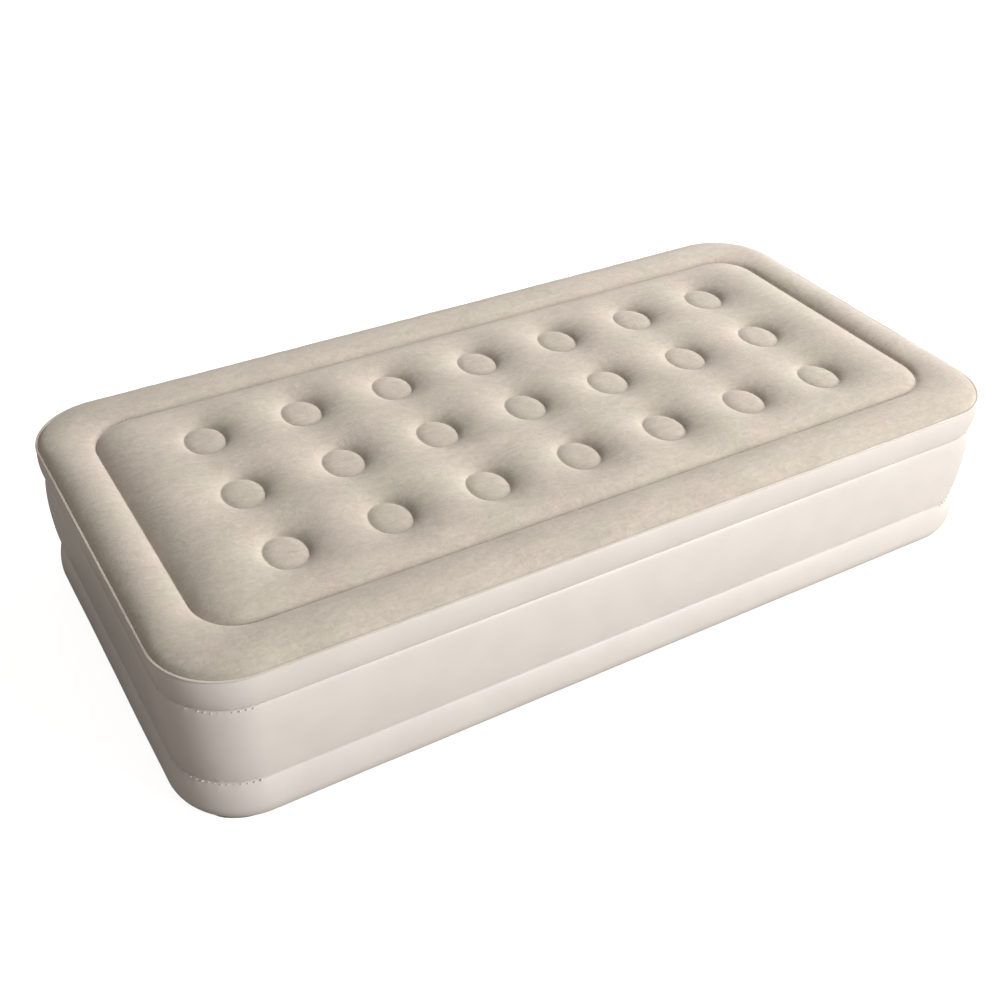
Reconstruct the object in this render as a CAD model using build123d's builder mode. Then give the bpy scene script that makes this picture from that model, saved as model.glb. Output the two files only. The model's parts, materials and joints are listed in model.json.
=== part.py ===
from build123d import *
import os

# Raised twin air bed with a built-in electric pump in its far end wall.
# Millimetres. Origin on the floor under the middle of the bed, +X along the length, +Z up.
# The sheets are thinner on the real bed, about half a millimetre, and are drawn SHEET thick.
os.makedirs("parts", exist_ok=True)

# ---------------------------------------------------------------- driving dimensions
LENGTH = 1905
WIDTH = 965
HEIGHT = 381
SHEET = 2
WEB = 1.5

SEAM_FLANGE = 6
SEAM_Z = 359
CORNER_R = 142
TOP_ROLL_R = 19

UPPER_GROOVE_Z = 287
LOWER_GROOVE_Z = 109
UPPER_GROOVE_IN = 3
LOWER_GROOVE_IN = 5
BELLY_OUT = 6
BELLY_Z = 52
FOOT_IN = 40
FOOT_LAP = 8

CREASE_HALF_X = 847
CREASE_HALF_Y = 361
CREASE_R = 90
CREASE_DEPTH = 18
CREASE_HALF_WIDTH = 14

DIMPLES_ALONG = 7
DIMPLES_ACROSS = 3
PITCH_ALONG = 214
PITCH_ACROSS = 210
DIMPLE_MOUTH_R = 70
DISC_R = 47
DISC_Z = 361
COIL_END_R = 46
COIL_WAIST_R = 38

# The pump well is a box let into the middle band of the +X end.
WELL_Y = 224
WELL_Z = 128
WELL_WALL = 2.5
WELL_MID_Z = 198
WELL_BACK_X = 853
WELL_FRONT_X = 951
COLLAR_WALL = 6
COLLAR_BACK_X = 936
WELL_R = 10
FACE_X = 927.5
FACE_T = 3
FACE_GAP = 0.5

BLOWER_Y = 62
BLOWER_R = 42
BLOWER_WALL = 2
SHAFT_R = 1.5
KNOB_R = 26
KNOB_SHAFT_R = 4

LID_Y = -68
LID_WIDTH = 66
LID_HEIGHT = 86
PIN_R = 1
RUNNING_GAP = 0.08

seam_half_x = LENGTH / 2 - SEAM_FLANGE
seam_half_y = WIDTH / 2 - SEAM_FLANGE
top_under = HEIGHT - SHEET
rim_z = SEAM_Z + SHEET / 2
crease_floor = HEIGHT - CREASE_DEPTH
face_front = FACE_X + FACE_T
lid_low = WELL_MID_Z - LID_HEIGHT / 2
lid_high = WELL_MID_Z + LID_HEIGHT / 2


def save(piece, name):
    """Label one finished piece and write it to its own file."""
    piece.part.label = name
    export_step(piece.part, f"parts/{name}.step")


def corner_planes(half_x, half_y, radius):
    """Section planes at the four corner centres of a rounded rectangle, each with the straight run behind it.

    Local x points outward from the corner centre and local y points up.
    """
    cx, cy = half_x - radius, half_y - radius
    planes = []
    for x, y, turn, run in (
        (cx, cy, 0, 2 * cy),
        (-cx, cy, 90, 2 * cx),
        (-cx, -cy, 180, 2 * cy),
        (cx, -cy, 270, 2 * cx),
    ):
        outward = Vector(1, 0, 0).rotate(Axis.Z, turn)
        side = outward.cross(Vector(0, 0, 1))
        planes.append((Plane((x, y, 0), x_dir=outward, z_dir=side), run))
    return planes


def wall_ring(half_x, half_y, radius, sections):
    """Carry closed wall sections round a rounded rectangle, a straight run and a quarter turn at a time."""
    for plane, run in corner_planes(half_x, half_y, radius):
        for arcs in sections:
            with BuildSketch(plane) as section:
                with BuildLine():
                    for points in arcs:
                        if len(points) == 3:
                            ThreePointArc(*points)
                        else:
                            Line(*points)
                make_face()
            extrude(section.sketch, amount=run)
            revolve(section.sketch, axis=Axis(plane.origin, (0, 0, 1)), revolution_arc=90)


def bowed_strip(foot, middle, head):
    """Section of a bowed sheet whose outer face runs foot, middle, head; the sheet lies inward of it."""
    inner = [(x - SHEET, z) for x, z in (foot, middle, head)]
    return [(foot, middle, head), (head, inner[2]), tuple(reversed(inner)), (inner[0], foot)]


def rounded_plate(half_x, half_y, radius, low, high):
    """A flat rounded rectangle between two heights."""
    with BuildSketch(Plane.XY.offset(low)) as outline:
        RectangleRounded(2 * half_x, 2 * half_y, radius)
    extrude(outline.sketch, amount=high - low)


def flat_ring(half_x, half_y, radius, width, low, high):
    """A flat ring of the given width, inward of a rounded rectangle."""
    with BuildSketch(Plane.XY.offset(low)) as outline:
        RectangleRounded(2 * half_x, 2 * half_y, radius)
        RectangleRounded(2 * (half_x - width), 2 * (half_y - width), radius - width, mode=Mode.SUBTRACT)
    extrude(outline.sketch, amount=high - low)


def box_at(x, y, z, mode=Mode.ADD):
    """A box from its low and high X, Y and Z."""
    with BuildSketch(Plane.YZ.offset(x[0])) as face:
        with Locations(((y[0] + y[1]) / 2, (z[0] + z[1]) / 2)):
            Rectangle(y[1] - y[0], z[1] - z[0])
    extrude(face.sketch, amount=x[1] - x[0], mode=mode)


def rod_x(y, z, radius, start, end, mode=Mode.ADD):
    """A round bar, or a round hole, along X."""
    with BuildSketch(Plane.YZ.offset(start)) as disc:
        with Locations((y, z)):
            Circle(radius)
    extrude(disc.sketch, amount=end - start, mode=mode)


def rod_y(x, z, radius, start, end, mode=Mode.ADD):
    """A round bar, or a round hole, along Y."""
    with BuildSketch(Plane((0, start, 0), x_dir=(1, 0, 0), z_dir=(0, 1, 0))) as disc:
        with Locations((x, -z)):
            Circle(radius)
    extrude(disc.sketch, amount=end - start, mode=mode)


def well_outline(inset, start, end, mode=Mode.ADD):
    """The pump well's rounded outline between two X stations."""
    with BuildSketch(Plane.YZ.offset(start)) as outline:
        with Locations((0, WELL_MID_Z)):
            RectangleRounded(WELL_Y - 2 * inset, WELL_Z - 2 * inset, WELL_R - inset)
    extrude(outline.sketch, amount=end - start, mode=mode)


# ---------------------------------------------------------------- air chamber: sheets and seams
# The flocked top is one sheet: a rolled border, a welded crease and a panel pulled down
# to a disc at each coil.
with BuildPart() as top_hollow:
    rounded_plate(seam_half_x - SHEET, seam_half_y - SHEET, CORNER_R - SHEET, rim_z - 1, top_under)
    fillet(top_hollow.faces().sort_by(Axis.Z)[-1].edges(), TOP_ROLL_R - SHEET)

crease_in = CREASE_R - CREASE_HALF_WIDTH
crease_out = CREASE_R + CREASE_HALF_WIDTH
crease_cut = [
    ((crease_in, top_under - 1), (crease_in, HEIGHT + 1)),
    ((crease_in, HEIGHT + 1), (crease_out, HEIGHT + 1)),
    ((crease_out, HEIGHT + 1), (crease_out, top_under - 1)),
    ((crease_out, top_under - 1), (crease_in, top_under - 1)),
]
crease_corners = [
    (crease_in - SHEET, HEIGHT),
    (crease_in, HEIGHT),
    (CREASE_R - WEB, crease_floor),
    (CREASE_R + WEB, crease_floor),
    (crease_out, HEIGHT),
    (crease_out + SHEET, HEIGHT),
    (crease_out + SHEET, top_under),
    (crease_out - 1, top_under),
    (CREASE_R + WEB, crease_floor - SHEET - 1),
    (CREASE_R - WEB, crease_floor - SHEET - 1),
    (crease_in + 1, top_under),
    (crease_in - SHEET, top_under),
]
crease_strip = list(zip(crease_corners, crease_corners[1:] + crease_corners[:1]))

with BuildPart() as crease_gap:
    wall_ring(CREASE_HALF_X, CREASE_HALF_Y, CREASE_R, [crease_cut])

dimple_section = [
    (0, DISC_Z - SHEET),
    (0, DISC_Z + 1),
    (DISC_R - 3, DISC_Z + 1),
    (DISC_R, DISC_Z),
    (DIMPLE_MOUTH_R, HEIGHT),
    (DIMPLE_MOUTH_R + SHEET + 1, HEIGHT),
    (DIMPLE_MOUTH_R + SHEET + 1, top_under),
    (DIMPLE_MOUTH_R + 1, top_under),
    (DISC_R + SHEET, DISC_Z - SHEET),
]
dimple_grid = GridLocations(PITCH_ALONG, PITCH_ACROSS, DIMPLES_ALONG, DIMPLES_ACROSS)

with BuildPart() as top_sheet:
    rounded_plate(seam_half_x, seam_half_y, CORNER_R, rim_z, HEIGHT)
    fillet(top_sheet.faces().sort_by(Axis.Z)[-1].edges(), TOP_ROLL_R)
    add(top_hollow.part, mode=Mode.SUBTRACT)
    add(crease_gap.part, mode=Mode.SUBTRACT)
    wall_ring(CREASE_HALF_X, CREASE_HALF_Y, CREASE_R, [crease_strip])
    with BuildSketch(Plane.XY.offset(top_under - 1)) as mouths:
        with dimple_grid:
            Circle(DIMPLE_MOUTH_R)
    extrude(mouths.sketch, amount=SHEET + 2, mode=Mode.SUBTRACT)
    for spot in dimple_grid:
        middle = spot.position
        with BuildSketch(Plane(middle, x_dir=(1, 0, 0), z_dir=(0, -1, 0))) as dish:
            with BuildLine():
                Polyline(*dimple_section, close=True)
            make_face()
        revolve(dish.sketch, axis=Axis(middle, (0, 0, 1)))
save(top_sheet, "top_sheet")

with BuildPart() as top_seam_flange:
    flat_ring(LENGTH / 2, WIDTH / 2, CORNER_R + SEAM_FLANGE, SEAM_FLANGE + SHEET, SEAM_Z - SHEET / 2, rim_z)
save(top_seam_flange, "top_seam_flange")

groove_high = (CORNER_R - UPPER_GROOVE_IN, UPPER_GROOVE_Z)
groove_low = (CORNER_R - LOWER_GROOVE_IN, LOWER_GROOVE_Z)
side_belly = (CORNER_R + BELLY_OUT, BELLY_Z)

with BuildPart() as upper_side_band:
    rim = (CORNER_R, SEAM_Z - SHEET / 2)
    middle = (CORNER_R + 4, (UPPER_GROOVE_Z + SEAM_Z) / 2)
    wall_ring(seam_half_x, seam_half_y, CORNER_R, [bowed_strip(groove_high, middle, rim)])
save(upper_side_band, "upper_side_band")

with BuildPart() as middle_side_band:
    middle = (CORNER_R + BELLY_OUT, (UPPER_GROOVE_Z + LOWER_GROOVE_Z) / 2)
    wall_ring(seam_half_x, seam_half_y, CORNER_R, [bowed_strip(groove_low, middle, groove_high)])
    with BuildSketch(Plane.YZ.offset(seam_half_x - 40)) as pump_opening:
        with Locations((0, WELL_MID_Z)):
            RectangleRounded(WELL_Y + 2 * COLLAR_WALL, WELL_Z + 2 * COLLAR_WALL, 10 + COLLAR_WALL)
    extrude(pump_opening.sketch, amount=80, mode=Mode.SUBTRACT)
save(middle_side_band, "middle_side_band")

with BuildPart() as lower_side_band:
    lap = (CORNER_R - FOOT_IN - FOOT_LAP, SHEET)
    foot = (CORNER_R - FOOT_IN, SHEET)
    knee = (CORNER_R - 10, 15)
    flank = (CORNER_R + BELLY_OUT - 2.5, 82)
    shift = SHEET
    lap_in, foot_in, knee_in, belly_in, flank_in, groove_in = (
        (lap[0], lap[1] + shift),
        (foot[0], foot[1] + shift),
        (knee[0] - shift * 0.7, knee[1] + shift * 0.7),
        (side_belly[0] - shift, side_belly[1]),
        (flank[0] - shift, flank[1]),
        (groove_low[0] - shift, groove_low[1]),
    )
    wall_ring(
        seam_half_x,
        seam_half_y,
        CORNER_R,
        [[
            (foot, knee, side_belly),
            (side_belly, flank, groove_low),
            (groove_low, groove_in),
            (groove_in, flank_in, belly_in),
            (belly_in, knee_in, foot_in),
            (foot_in, lap_in),
            (lap_in, lap),
            (lap, foot),
        ]],
    )
save(lower_side_band, "lower_side_band")

with BuildPart() as bottom_sheet:
    edge_in = FOOT_IN
    rounded_plate(seam_half_x - edge_in, seam_half_y - edge_in, CORNER_R - edge_in, 0, SHEET)
save(bottom_sheet, "bottom_sheet")

# ---------------------------------------------------------------- air chamber: inner webs and coils
with BuildPart() as border_web:
    web_x, web_y = CREASE_HALF_X + WEB / 2, CREASE_HALF_Y + WEB / 2
    flat_ring(web_x, web_y, CREASE_R + WEB / 2, WEB, SHEET, crease_floor - SHEET - 1)
    for vent_y in (-PITCH_ACROSS, 0, PITCH_ACROSS):
        rod_x(vent_y, BELLY_Z, 25, -LENGTH / 2, LENGTH / 2, Mode.SUBTRACT)
save(border_web, "border_web")

WAIST_WEB_WIDTH = 60
for web_name, web_z, web_in in (
    ("upper_waist_web", UPPER_GROOVE_Z, UPPER_GROOVE_IN + SHEET),
    ("lower_waist_web", LOWER_GROOVE_Z, LOWER_GROOVE_IN + SHEET),
):
    with BuildPart() as waist_web:
        outer_x, outer_y = seam_half_x - web_in, seam_half_y - web_in
        flat_ring(outer_x, outer_y, CORNER_R - web_in, WAIST_WEB_WIDTH, web_z - WEB / 2, web_z + WEB / 2)
    save(waist_web, web_name)

coil_low, coil_high = SHEET, DISC_Z - SHEET
inner_end = COIL_END_R - WEB
coil_middle = (coil_low + coil_high) / 2
for number, spot in enumerate(dimple_grid):
    column, row = number // DIMPLES_ACROSS + 1, number % DIMPLES_ACROSS + 1
    middle = spot.position
    with BuildPart() as coil_tube:
        with BuildSketch(Plane(middle, x_dir=(1, 0, 0), z_dir=(0, -1, 0))) as tube_wall:
            with BuildLine():
                ThreePointArc((COIL_END_R, coil_low), (COIL_WAIST_R, coil_middle), (COIL_END_R, coil_high))
                Line((COIL_END_R, coil_high), (inner_end, coil_high))
                inner_waist = (COIL_WAIST_R - WEB, coil_middle)
                ThreePointArc((inner_end, coil_high), inner_waist, (inner_end, coil_low))
                Line((inner_end, coil_low), (COIL_END_R, coil_low))
            make_face()
        revolve(tube_wall.sketch, axis=Axis(middle, (0, 0, 1)))
    save(coil_tube, f"coil_tube_{column}_{row}")

# ---------------------------------------------------------------- pump well and face
LEDGE = 4
POST = 12
POST_BACK_X = 905
GASKET_T = 1.5
screw_spots = [
    (sy * (WELL_Y / 2 - WELL_WALL - POST / 2), WELL_MID_Z + sz * (WELL_Z / 2 - WELL_WALL - POST / 2))
    for sy in (-1, 1)
    for sz in (-1, 1)
]
SCREW_R = 1.5
SCREW_LENGTH = 16

DUCT_LOW_Z, DUCT_HIGH_Z = 186, 210
DUCT_BACK_X, DUCT_TURN_X, DUCT_FRONT_X = 857, 878, 908
DUCT_WALL = 1.5
DUCT_TURN_Y = -10
VALVE_X, VALVE_Z, VALVE_R = 867.5, 198, 8

with BuildPart() as pump_collar:
    with BuildSketch(Plane.YZ.offset(COLLAR_BACK_X)) as collar:
        with Locations((0, WELL_MID_Z)):
            RectangleRounded(WELL_Y + 2 * COLLAR_WALL, WELL_Z + 2 * COLLAR_WALL, WELL_R + COLLAR_WALL)
            RectangleRounded(WELL_Y, WELL_Z, WELL_R, mode=Mode.SUBTRACT)
    extrude(collar.sketch, amount=WELL_FRONT_X + 1 - COLLAR_BACK_X)
save(pump_collar, "pump_collar")

with BuildPart() as pump_well:
    well_outline(0, WELL_BACK_X, WELL_FRONT_X)
    well_outline(WELL_WALL, WELL_BACK_X + WELL_WALL, WELL_FRONT_X, Mode.SUBTRACT)
    for y, z in screw_spots:
        box_at((POST_BACK_X, FACE_X - GASKET_T), (y - POST / 2, y + POST / 2), (z - POST / 2, z + POST / 2))
        rod_x(y, z, SCREW_R, face_front - SCREW_LENGTH, FACE_X, Mode.SUBTRACT)
    rod_y(VALVE_X, VALVE_Z, VALVE_R, -WELL_Y / 2 - 1, -WELL_Y / 2 + WELL_WALL + 1, Mode.SUBTRACT)
save(pump_well, "pump_well")

with BuildPart() as face_gasket:
    well_outline(WELL_WALL + FACE_GAP, FACE_X - GASKET_T, FACE_X)
    well_outline(WELL_WALL + FACE_GAP + LEDGE, FACE_X - GASKET_T, FACE_X, Mode.SUBTRACT)
    for y, z in screw_spots:
        rod_x(y, z, SCREW_R, FACE_X - 2, FACE_X + 1, Mode.SUBTRACT)
save(face_gasket, "face_gasket")

HINGE_X = FACE_X + FACE_T / 2
HINGE_Z = lid_low + 3.3
KNUCKLE_R = 2.5
PIN_OVERHANG = 3
SWITCH_Y, SWITCH_Z = 2, 228
SWITCH_HALF_Y, SWITCH_HALF_Z = 11, 9
GRILLE_Y, GRILLE_Z = 2, 175
GRILLE_HALF_Y, GRILLE_HALF_Z = 24, 22
lid_left, lid_right = LID_Y - LID_WIDTH / 2, LID_Y + LID_WIDTH / 2
grille_y = (GRILLE_Y - GRILLE_HALF_Y, GRILLE_Y + GRILLE_HALF_Y)
grille_z = (GRILLE_Z - GRILLE_HALF_Z, GRILLE_Z + GRILLE_HALF_Z)
switch_y = (SWITCH_Y - SWITCH_HALF_Y, SWITCH_Y + SWITCH_HALF_Y)
switch_z = (SWITCH_Z - SWITCH_HALF_Z, SWITCH_Z + SWITCH_HALF_Z)

with BuildPart() as face_plate:
    well_outline(WELL_WALL + FACE_GAP, FACE_X, face_front)
    fillet(face_plate.faces().sort_by(Axis.X)[-1].edges(), 1)
    cut = (FACE_X - 1, face_front + 1)
    box_at(cut, (lid_left, lid_right), (lid_low, lid_high), Mode.SUBTRACT)
    box_at(cut, switch_y, switch_z, Mode.SUBTRACT)
    box_at(cut, (grille_y[0] + 2, grille_y[1] - 2), (grille_z[0] + 2, grille_z[1] - 2), Mode.SUBTRACT)
    rod_x(BLOWER_Y, WELL_MID_Z, KNOB_SHAFT_R + RUNNING_GAP, *cut, Mode.SUBTRACT)
    for y, z in screw_spots:
        rod_x(y, z, SCREW_R, *cut, Mode.SUBTRACT)
    rod_y(HINGE_X, HINGE_Z, PIN_R, lid_left - PIN_OVERHANG, lid_right + PIN_OVERHANG, Mode.SUBTRACT)
save(face_plate, "face_plate")

with BuildPart() as face_screws:
    for y, z in screw_spots:
        rod_x(y, z, SCREW_R, face_front - SCREW_LENGTH, face_front)
        rod_x(y, z, 3, face_front, face_front + 2)
        box_at((face_front + 1, face_front + 2), (y - 2, y + 2), (z - 0.4, z + 0.4), Mode.SUBTRACT)
save(face_screws, "face_screws")

SLOTS = 6
SLOT_MARGIN, SLOT_PITCH, SLOT_HALF_WIDTH = 6, 6.4, 1.5

with BuildPart() as intake_grille:
    box_at((face_front, face_front + 2), grille_y, grille_z)
    for slot in range(SLOTS):
        slot_z = grille_z[0] + SLOT_MARGIN + slot * SLOT_PITCH
        slot_y = (grille_y[0] + 5, grille_y[1] - 5)
        slot_span = (slot_z - SLOT_HALF_WIDTH, slot_z + SLOT_HALF_WIDTH)
        box_at((face_front - 1, face_front + 3), slot_y, slot_span, Mode.SUBTRACT)
save(intake_grille, "intake_grille")

# ---------------------------------------------------------------- cord compartment and its lid
CORD_BOX_BACK_X = 880
CORD_BOX_WALL = 2
GLAND_Z = 172
LID_GAP = 0.5

with BuildPart() as cord_box:
    wall = CORD_BOX_WALL
    inner_y, inner_z = (lid_left, lid_right), (lid_low, lid_high)
    outer_y, outer_z = (lid_left - wall, lid_right + wall), (lid_low - wall, lid_high + wall)
    box_at((CORD_BOX_BACK_X, FACE_X), outer_y, outer_z)
    box_at((CORD_BOX_BACK_X + wall, FACE_X + 1), inner_y, inner_z, Mode.SUBTRACT)
    rod_x(LID_Y, GLAND_Z, 5, CORD_BOX_BACK_X - 1, CORD_BOX_BACK_X + wall + 1, Mode.SUBTRACT)
save(cord_box, "cord_box")

with BuildPart() as cord_gland:
    rod_x(LID_Y, GLAND_Z, 5, CORD_BOX_BACK_X - 3, CORD_BOX_BACK_X + CORD_BOX_WALL)
    rod_x(LID_Y, GLAND_Z, 8, CORD_BOX_BACK_X + CORD_BOX_WALL, CORD_BOX_BACK_X + 5)
    rod_x(LID_Y, GLAND_Z, 3.2, CORD_BOX_BACK_X - 4, CORD_BOX_BACK_X + 6, Mode.SUBTRACT)
save(cord_gland, "cord_gland")

with BuildPart() as cord_lid:
    lid_y = (lid_left + LID_GAP, lid_right - LID_GAP)
    box_at((FACE_X, face_front), lid_y, (HINGE_Z, lid_high - LID_GAP))
    rod_y(HINGE_X, HINGE_Z, KNUCKLE_R, *lid_y)
    box_at((face_front, face_front + 3), (LID_Y - 12, LID_Y + 12), (lid_high - 8, lid_high - 5))
    rod_y(HINGE_X, HINGE_Z, PIN_R + RUNNING_GAP, lid_left, lid_right, Mode.SUBTRACT)
save(cord_lid, "cord_lid")

with BuildPart() as lid_hinge_pin:
    rod_y(HINGE_X, HINGE_Z, PIN_R, lid_left - PIN_OVERHANG, lid_right + PIN_OVERHANG)
save(lid_hinge_pin, "lid_hinge_pin")

# ---------------------------------------------------------------- power switch
ROCKER_X = 928
ROCKER_HALF_Y, ROCKER_HALF_Z = 8, 5.5
TRUNNION = 1.5

with BuildPart() as switch_body:
    box_at((908, face_front), switch_y, switch_z)
    cavity_y = (SWITCH_Y - ROCKER_HALF_Y - 0.5, SWITCH_Y + ROCKER_HALF_Y + 0.5)
    cavity_z = (SWITCH_Z - ROCKER_HALF_Z - 1.5, SWITCH_Z + ROCKER_HALF_Z + 1.5)
    box_at((920, face_front + 1), cavity_y, cavity_z, Mode.SUBTRACT)
    trunnion_span = (cavity_y[0] - TRUNNION, cavity_y[1] + TRUNNION)
    rod_y(ROCKER_X, SWITCH_Z, 1 + RUNNING_GAP, *trunnion_span, Mode.SUBTRACT)
save(switch_body, "switch_body")

with BuildPart() as power_rocker:
    rocker_y = (SWITCH_Y - ROCKER_HALF_Y, SWITCH_Y + ROCKER_HALF_Y)
    box_at((922, 933), rocker_y, (SWITCH_Z - ROCKER_HALF_Z, SWITCH_Z + ROCKER_HALF_Z))
    rod_y(932, SWITCH_Z, 3.4, SWITCH_Y - ROCKER_HALF_Y - 1, SWITCH_Y + ROCKER_HALF_Y + 1, Mode.SUBTRACT)
    box_at((926, 931), rocker_y, (SWITCH_Z - 2.5, SWITCH_Z + 2.5))
    rod_y(ROCKER_X, SWITCH_Z, 1, trunnion_span[0] + 0.2, trunnion_span[1] - 0.2)
save(power_rocker, "power_rocker")

# ---------------------------------------------------------------- mode knob and its selector
KNOB_BACK_X, KNOB_FRONT_X = 931.3, 949
GRIP_HALF_WIDTH, GRIP_HALF_LENGTH = 5, 22
SHAFT_BACK_X = 914
DRUM_R = 23

with BuildPart() as mode_knob:
    rod_x(BLOWER_Y, WELL_MID_Z, KNOB_R, KNOB_BACK_X, KNOB_BACK_X + 7)
    fillet(mode_knob.faces().sort_by(Axis.X)[-1].edges(), 1.5)
    grip_y = (BLOWER_Y - GRIP_HALF_WIDTH, BLOWER_Y + GRIP_HALF_WIDTH)
    grip_z = (WELL_MID_Z - GRIP_HALF_LENGTH, WELL_MID_Z + GRIP_HALF_LENGTH)
    box_at((KNOB_BACK_X + 5, KNOB_FRONT_X), grip_y, grip_z)
    rod_x(BLOWER_Y, WELL_MID_Z, KNOB_SHAFT_R, SHAFT_BACK_X, KNOB_BACK_X)
save(mode_knob, "mode_knob")

with BuildPart() as selector_drum:
    rod_x(BLOWER_Y, WELL_MID_Z, DRUM_R, 913, 921)
    rod_x(BLOWER_Y, WELL_MID_Z, KNOB_SHAFT_R, SHAFT_BACK_X, 922, Mode.SUBTRACT)
    for side in (-1, 1):
        rod_x(BLOWER_Y + side * 14, WELL_MID_Z, 6.5, 912, 922, Mode.SUBTRACT)
save(selector_drum, "selector_drum")

with BuildPart() as knob_seal_ring:
    rod_x(BLOWER_Y, WELL_MID_Z, 7, 924, FACE_X)
    rod_x(BLOWER_Y, WELL_MID_Z, KNOB_SHAFT_R + RUNNING_GAP, 923, FACE_X + 1, Mode.SUBTRACT)
save(knob_seal_ring, "knob_seal_ring")

# ---------------------------------------------------------------- blower, motor and outlet
BLOWER_BACK_X, BLOWER_FRONT_X = 886, 910
MOTOR_R = 18
MOTOR_BACK_X = 861
MOTOR_SCREW_R, MOTOR_HEAD_R = 1.25, 2.2
MOTOR_SCREW_YS = (BLOWER_Y - 12, BLOWER_Y + 12)
COVER_INLET_R = 15
OUTLET_X = (892, 906)
OUTLET_IN = 25
IMPELLER_R = 37

with BuildPart() as blower_cover:
    rod_x(BLOWER_Y, WELL_MID_Z, BLOWER_R, BLOWER_BACK_X + 2, BLOWER_FRONT_X)
    rod_x(BLOWER_Y, WELL_MID_Z, BLOWER_R - BLOWER_WALL, BLOWER_BACK_X + 1, BLOWER_FRONT_X - 2, Mode.SUBTRACT)
    rod_x(BLOWER_Y, WELL_MID_Z, COVER_INLET_R, BLOWER_FRONT_X - 3, BLOWER_FRONT_X + 1, Mode.SUBTRACT)
    outlet_y = (BLOWER_Y - BLOWER_R - 1, BLOWER_Y - OUTLET_IN)
    box_at(OUTLET_X, outlet_y, (DUCT_LOW_Z + 3, DUCT_HIGH_Z - 3), Mode.SUBTRACT)
save(blower_cover, "blower_cover")

with BuildPart() as blower_back_plate:
    rod_x(BLOWER_Y, WELL_MID_Z, BLOWER_R, BLOWER_BACK_X, BLOWER_BACK_X + 2)
    rod_x(BLOWER_Y, WELL_MID_Z, 4, BLOWER_BACK_X - 1, BLOWER_BACK_X + 3, Mode.SUBTRACT)
    for screw_y in MOTOR_SCREW_YS:
        rod_x(screw_y, WELL_MID_Z, MOTOR_SCREW_R, BLOWER_BACK_X - 1, BLOWER_BACK_X + 3, Mode.SUBTRACT)
save(blower_back_plate, "blower_back_plate")

with BuildPart() as motor_can:
    rod_x(BLOWER_Y, WELL_MID_Z, MOTOR_R, MOTOR_BACK_X, BLOWER_BACK_X)
    rod_x(BLOWER_Y, WELL_MID_Z, SHAFT_R + RUNNING_GAP, MOTOR_BACK_X + 2, BLOWER_BACK_X + 1, Mode.SUBTRACT)
    for screw_y in MOTOR_SCREW_YS:
        rod_x(screw_y, WELL_MID_Z, MOTOR_SCREW_R, BLOWER_BACK_X - 5, BLOWER_BACK_X + 1, Mode.SUBTRACT)
save(motor_can, "motor_can")

with BuildPart() as motor_screws:
    for screw_y in MOTOR_SCREW_YS:
        rod_x(screw_y, WELL_MID_Z, MOTOR_SCREW_R, BLOWER_BACK_X - 5, BLOWER_BACK_X + 2)
        rod_x(screw_y, WELL_MID_Z, MOTOR_HEAD_R, BLOWER_BACK_X + 2, BLOWER_BACK_X + 3)
save(motor_screws, "motor_screws")

with BuildPart() as motor_damper:
    rod_x(BLOWER_Y, WELL_MID_Z, MOTOR_R + 4, WELL_BACK_X + WELL_WALL, 866)
    rod_x(BLOWER_Y, WELL_MID_Z, MOTOR_R, MOTOR_BACK_X, 867, Mode.SUBTRACT)
save(motor_damper, "motor_damper")

with BuildPart() as motor_shaft:
    rod_x(BLOWER_Y, WELL_MID_Z, SHAFT_R, MOTOR_BACK_X + 2.5, 905)
save(motor_shaft, "motor_shaft")

BLADES = 9
BLADE_LENGTH, BLADE_T, BLADE_DEPTH, BLADE_LEAN = 26, 1.2, 10, 20
BLADE_MIDDLE_R = 22
HUB_R = 6
WHEEL_BACK_X, WHEEL_FRONT_X = 891, 903

with BuildPart() as impeller:
    rod_x(BLOWER_Y, WELL_MID_Z, IMPELLER_R, WHEEL_BACK_X, WHEEL_BACK_X + 1.5)
    rod_x(BLOWER_Y, WELL_MID_Z, HUB_R, WHEEL_BACK_X, WHEEL_FRONT_X)
    with BuildSketch(Plane.YZ.offset(WHEEL_BACK_X + 1)) as blades:
        with Locations((BLOWER_Y, WELL_MID_Z)):
            with PolarLocations(BLADE_MIDDLE_R, BLADES):
                Rectangle(BLADE_LENGTH, BLADE_T, rotation=BLADE_LEAN)
    extrude(blades.sketch, amount=BLADE_DEPTH)
    rod_x(BLOWER_Y, WELL_MID_Z, SHAFT_R, WHEEL_BACK_X - 1, WHEEL_FRONT_X + 1, Mode.SUBTRACT)
save(impeller, "impeller")

with BuildPart() as outlet_duct:
    duct_z = (DUCT_LOW_Z, DUCT_HIGH_Z)
    inner_z = (DUCT_LOW_Z + DUCT_WALL, DUCT_HIGH_Z - DUCT_WALL)
    box_at((DUCT_BACK_X, DUCT_FRONT_X), (DUCT_TURN_Y, 30), duct_z)
    box_at((DUCT_BACK_X, DUCT_TURN_X), (-WELL_Y / 2 + WELL_WALL, DUCT_TURN_Y), duct_z)
    deep_x = (DUCT_BACK_X + DUCT_WALL, DUCT_FRONT_X - DUCT_WALL)
    shallow_x = (DUCT_BACK_X + DUCT_WALL, DUCT_TURN_X - DUCT_WALL)
    box_at(deep_x, (DUCT_TURN_Y + DUCT_WALL, 31), inner_z, Mode.SUBTRACT)
    box_at(shallow_x, (-WELL_Y / 2, DUCT_TURN_Y + 5), inner_z, Mode.SUBTRACT)
    rod_x(BLOWER_Y, WELL_MID_Z, BLOWER_R, BLOWER_BACK_X, DUCT_FRONT_X + 1, Mode.SUBTRACT)
    box_at((DUCT_BACK_X - 1, BLOWER_BACK_X), (20, 31), (DUCT_LOW_Z - 1, DUCT_HIGH_Z + 1), Mode.SUBTRACT)
save(outlet_duct, "outlet_duct")

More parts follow.
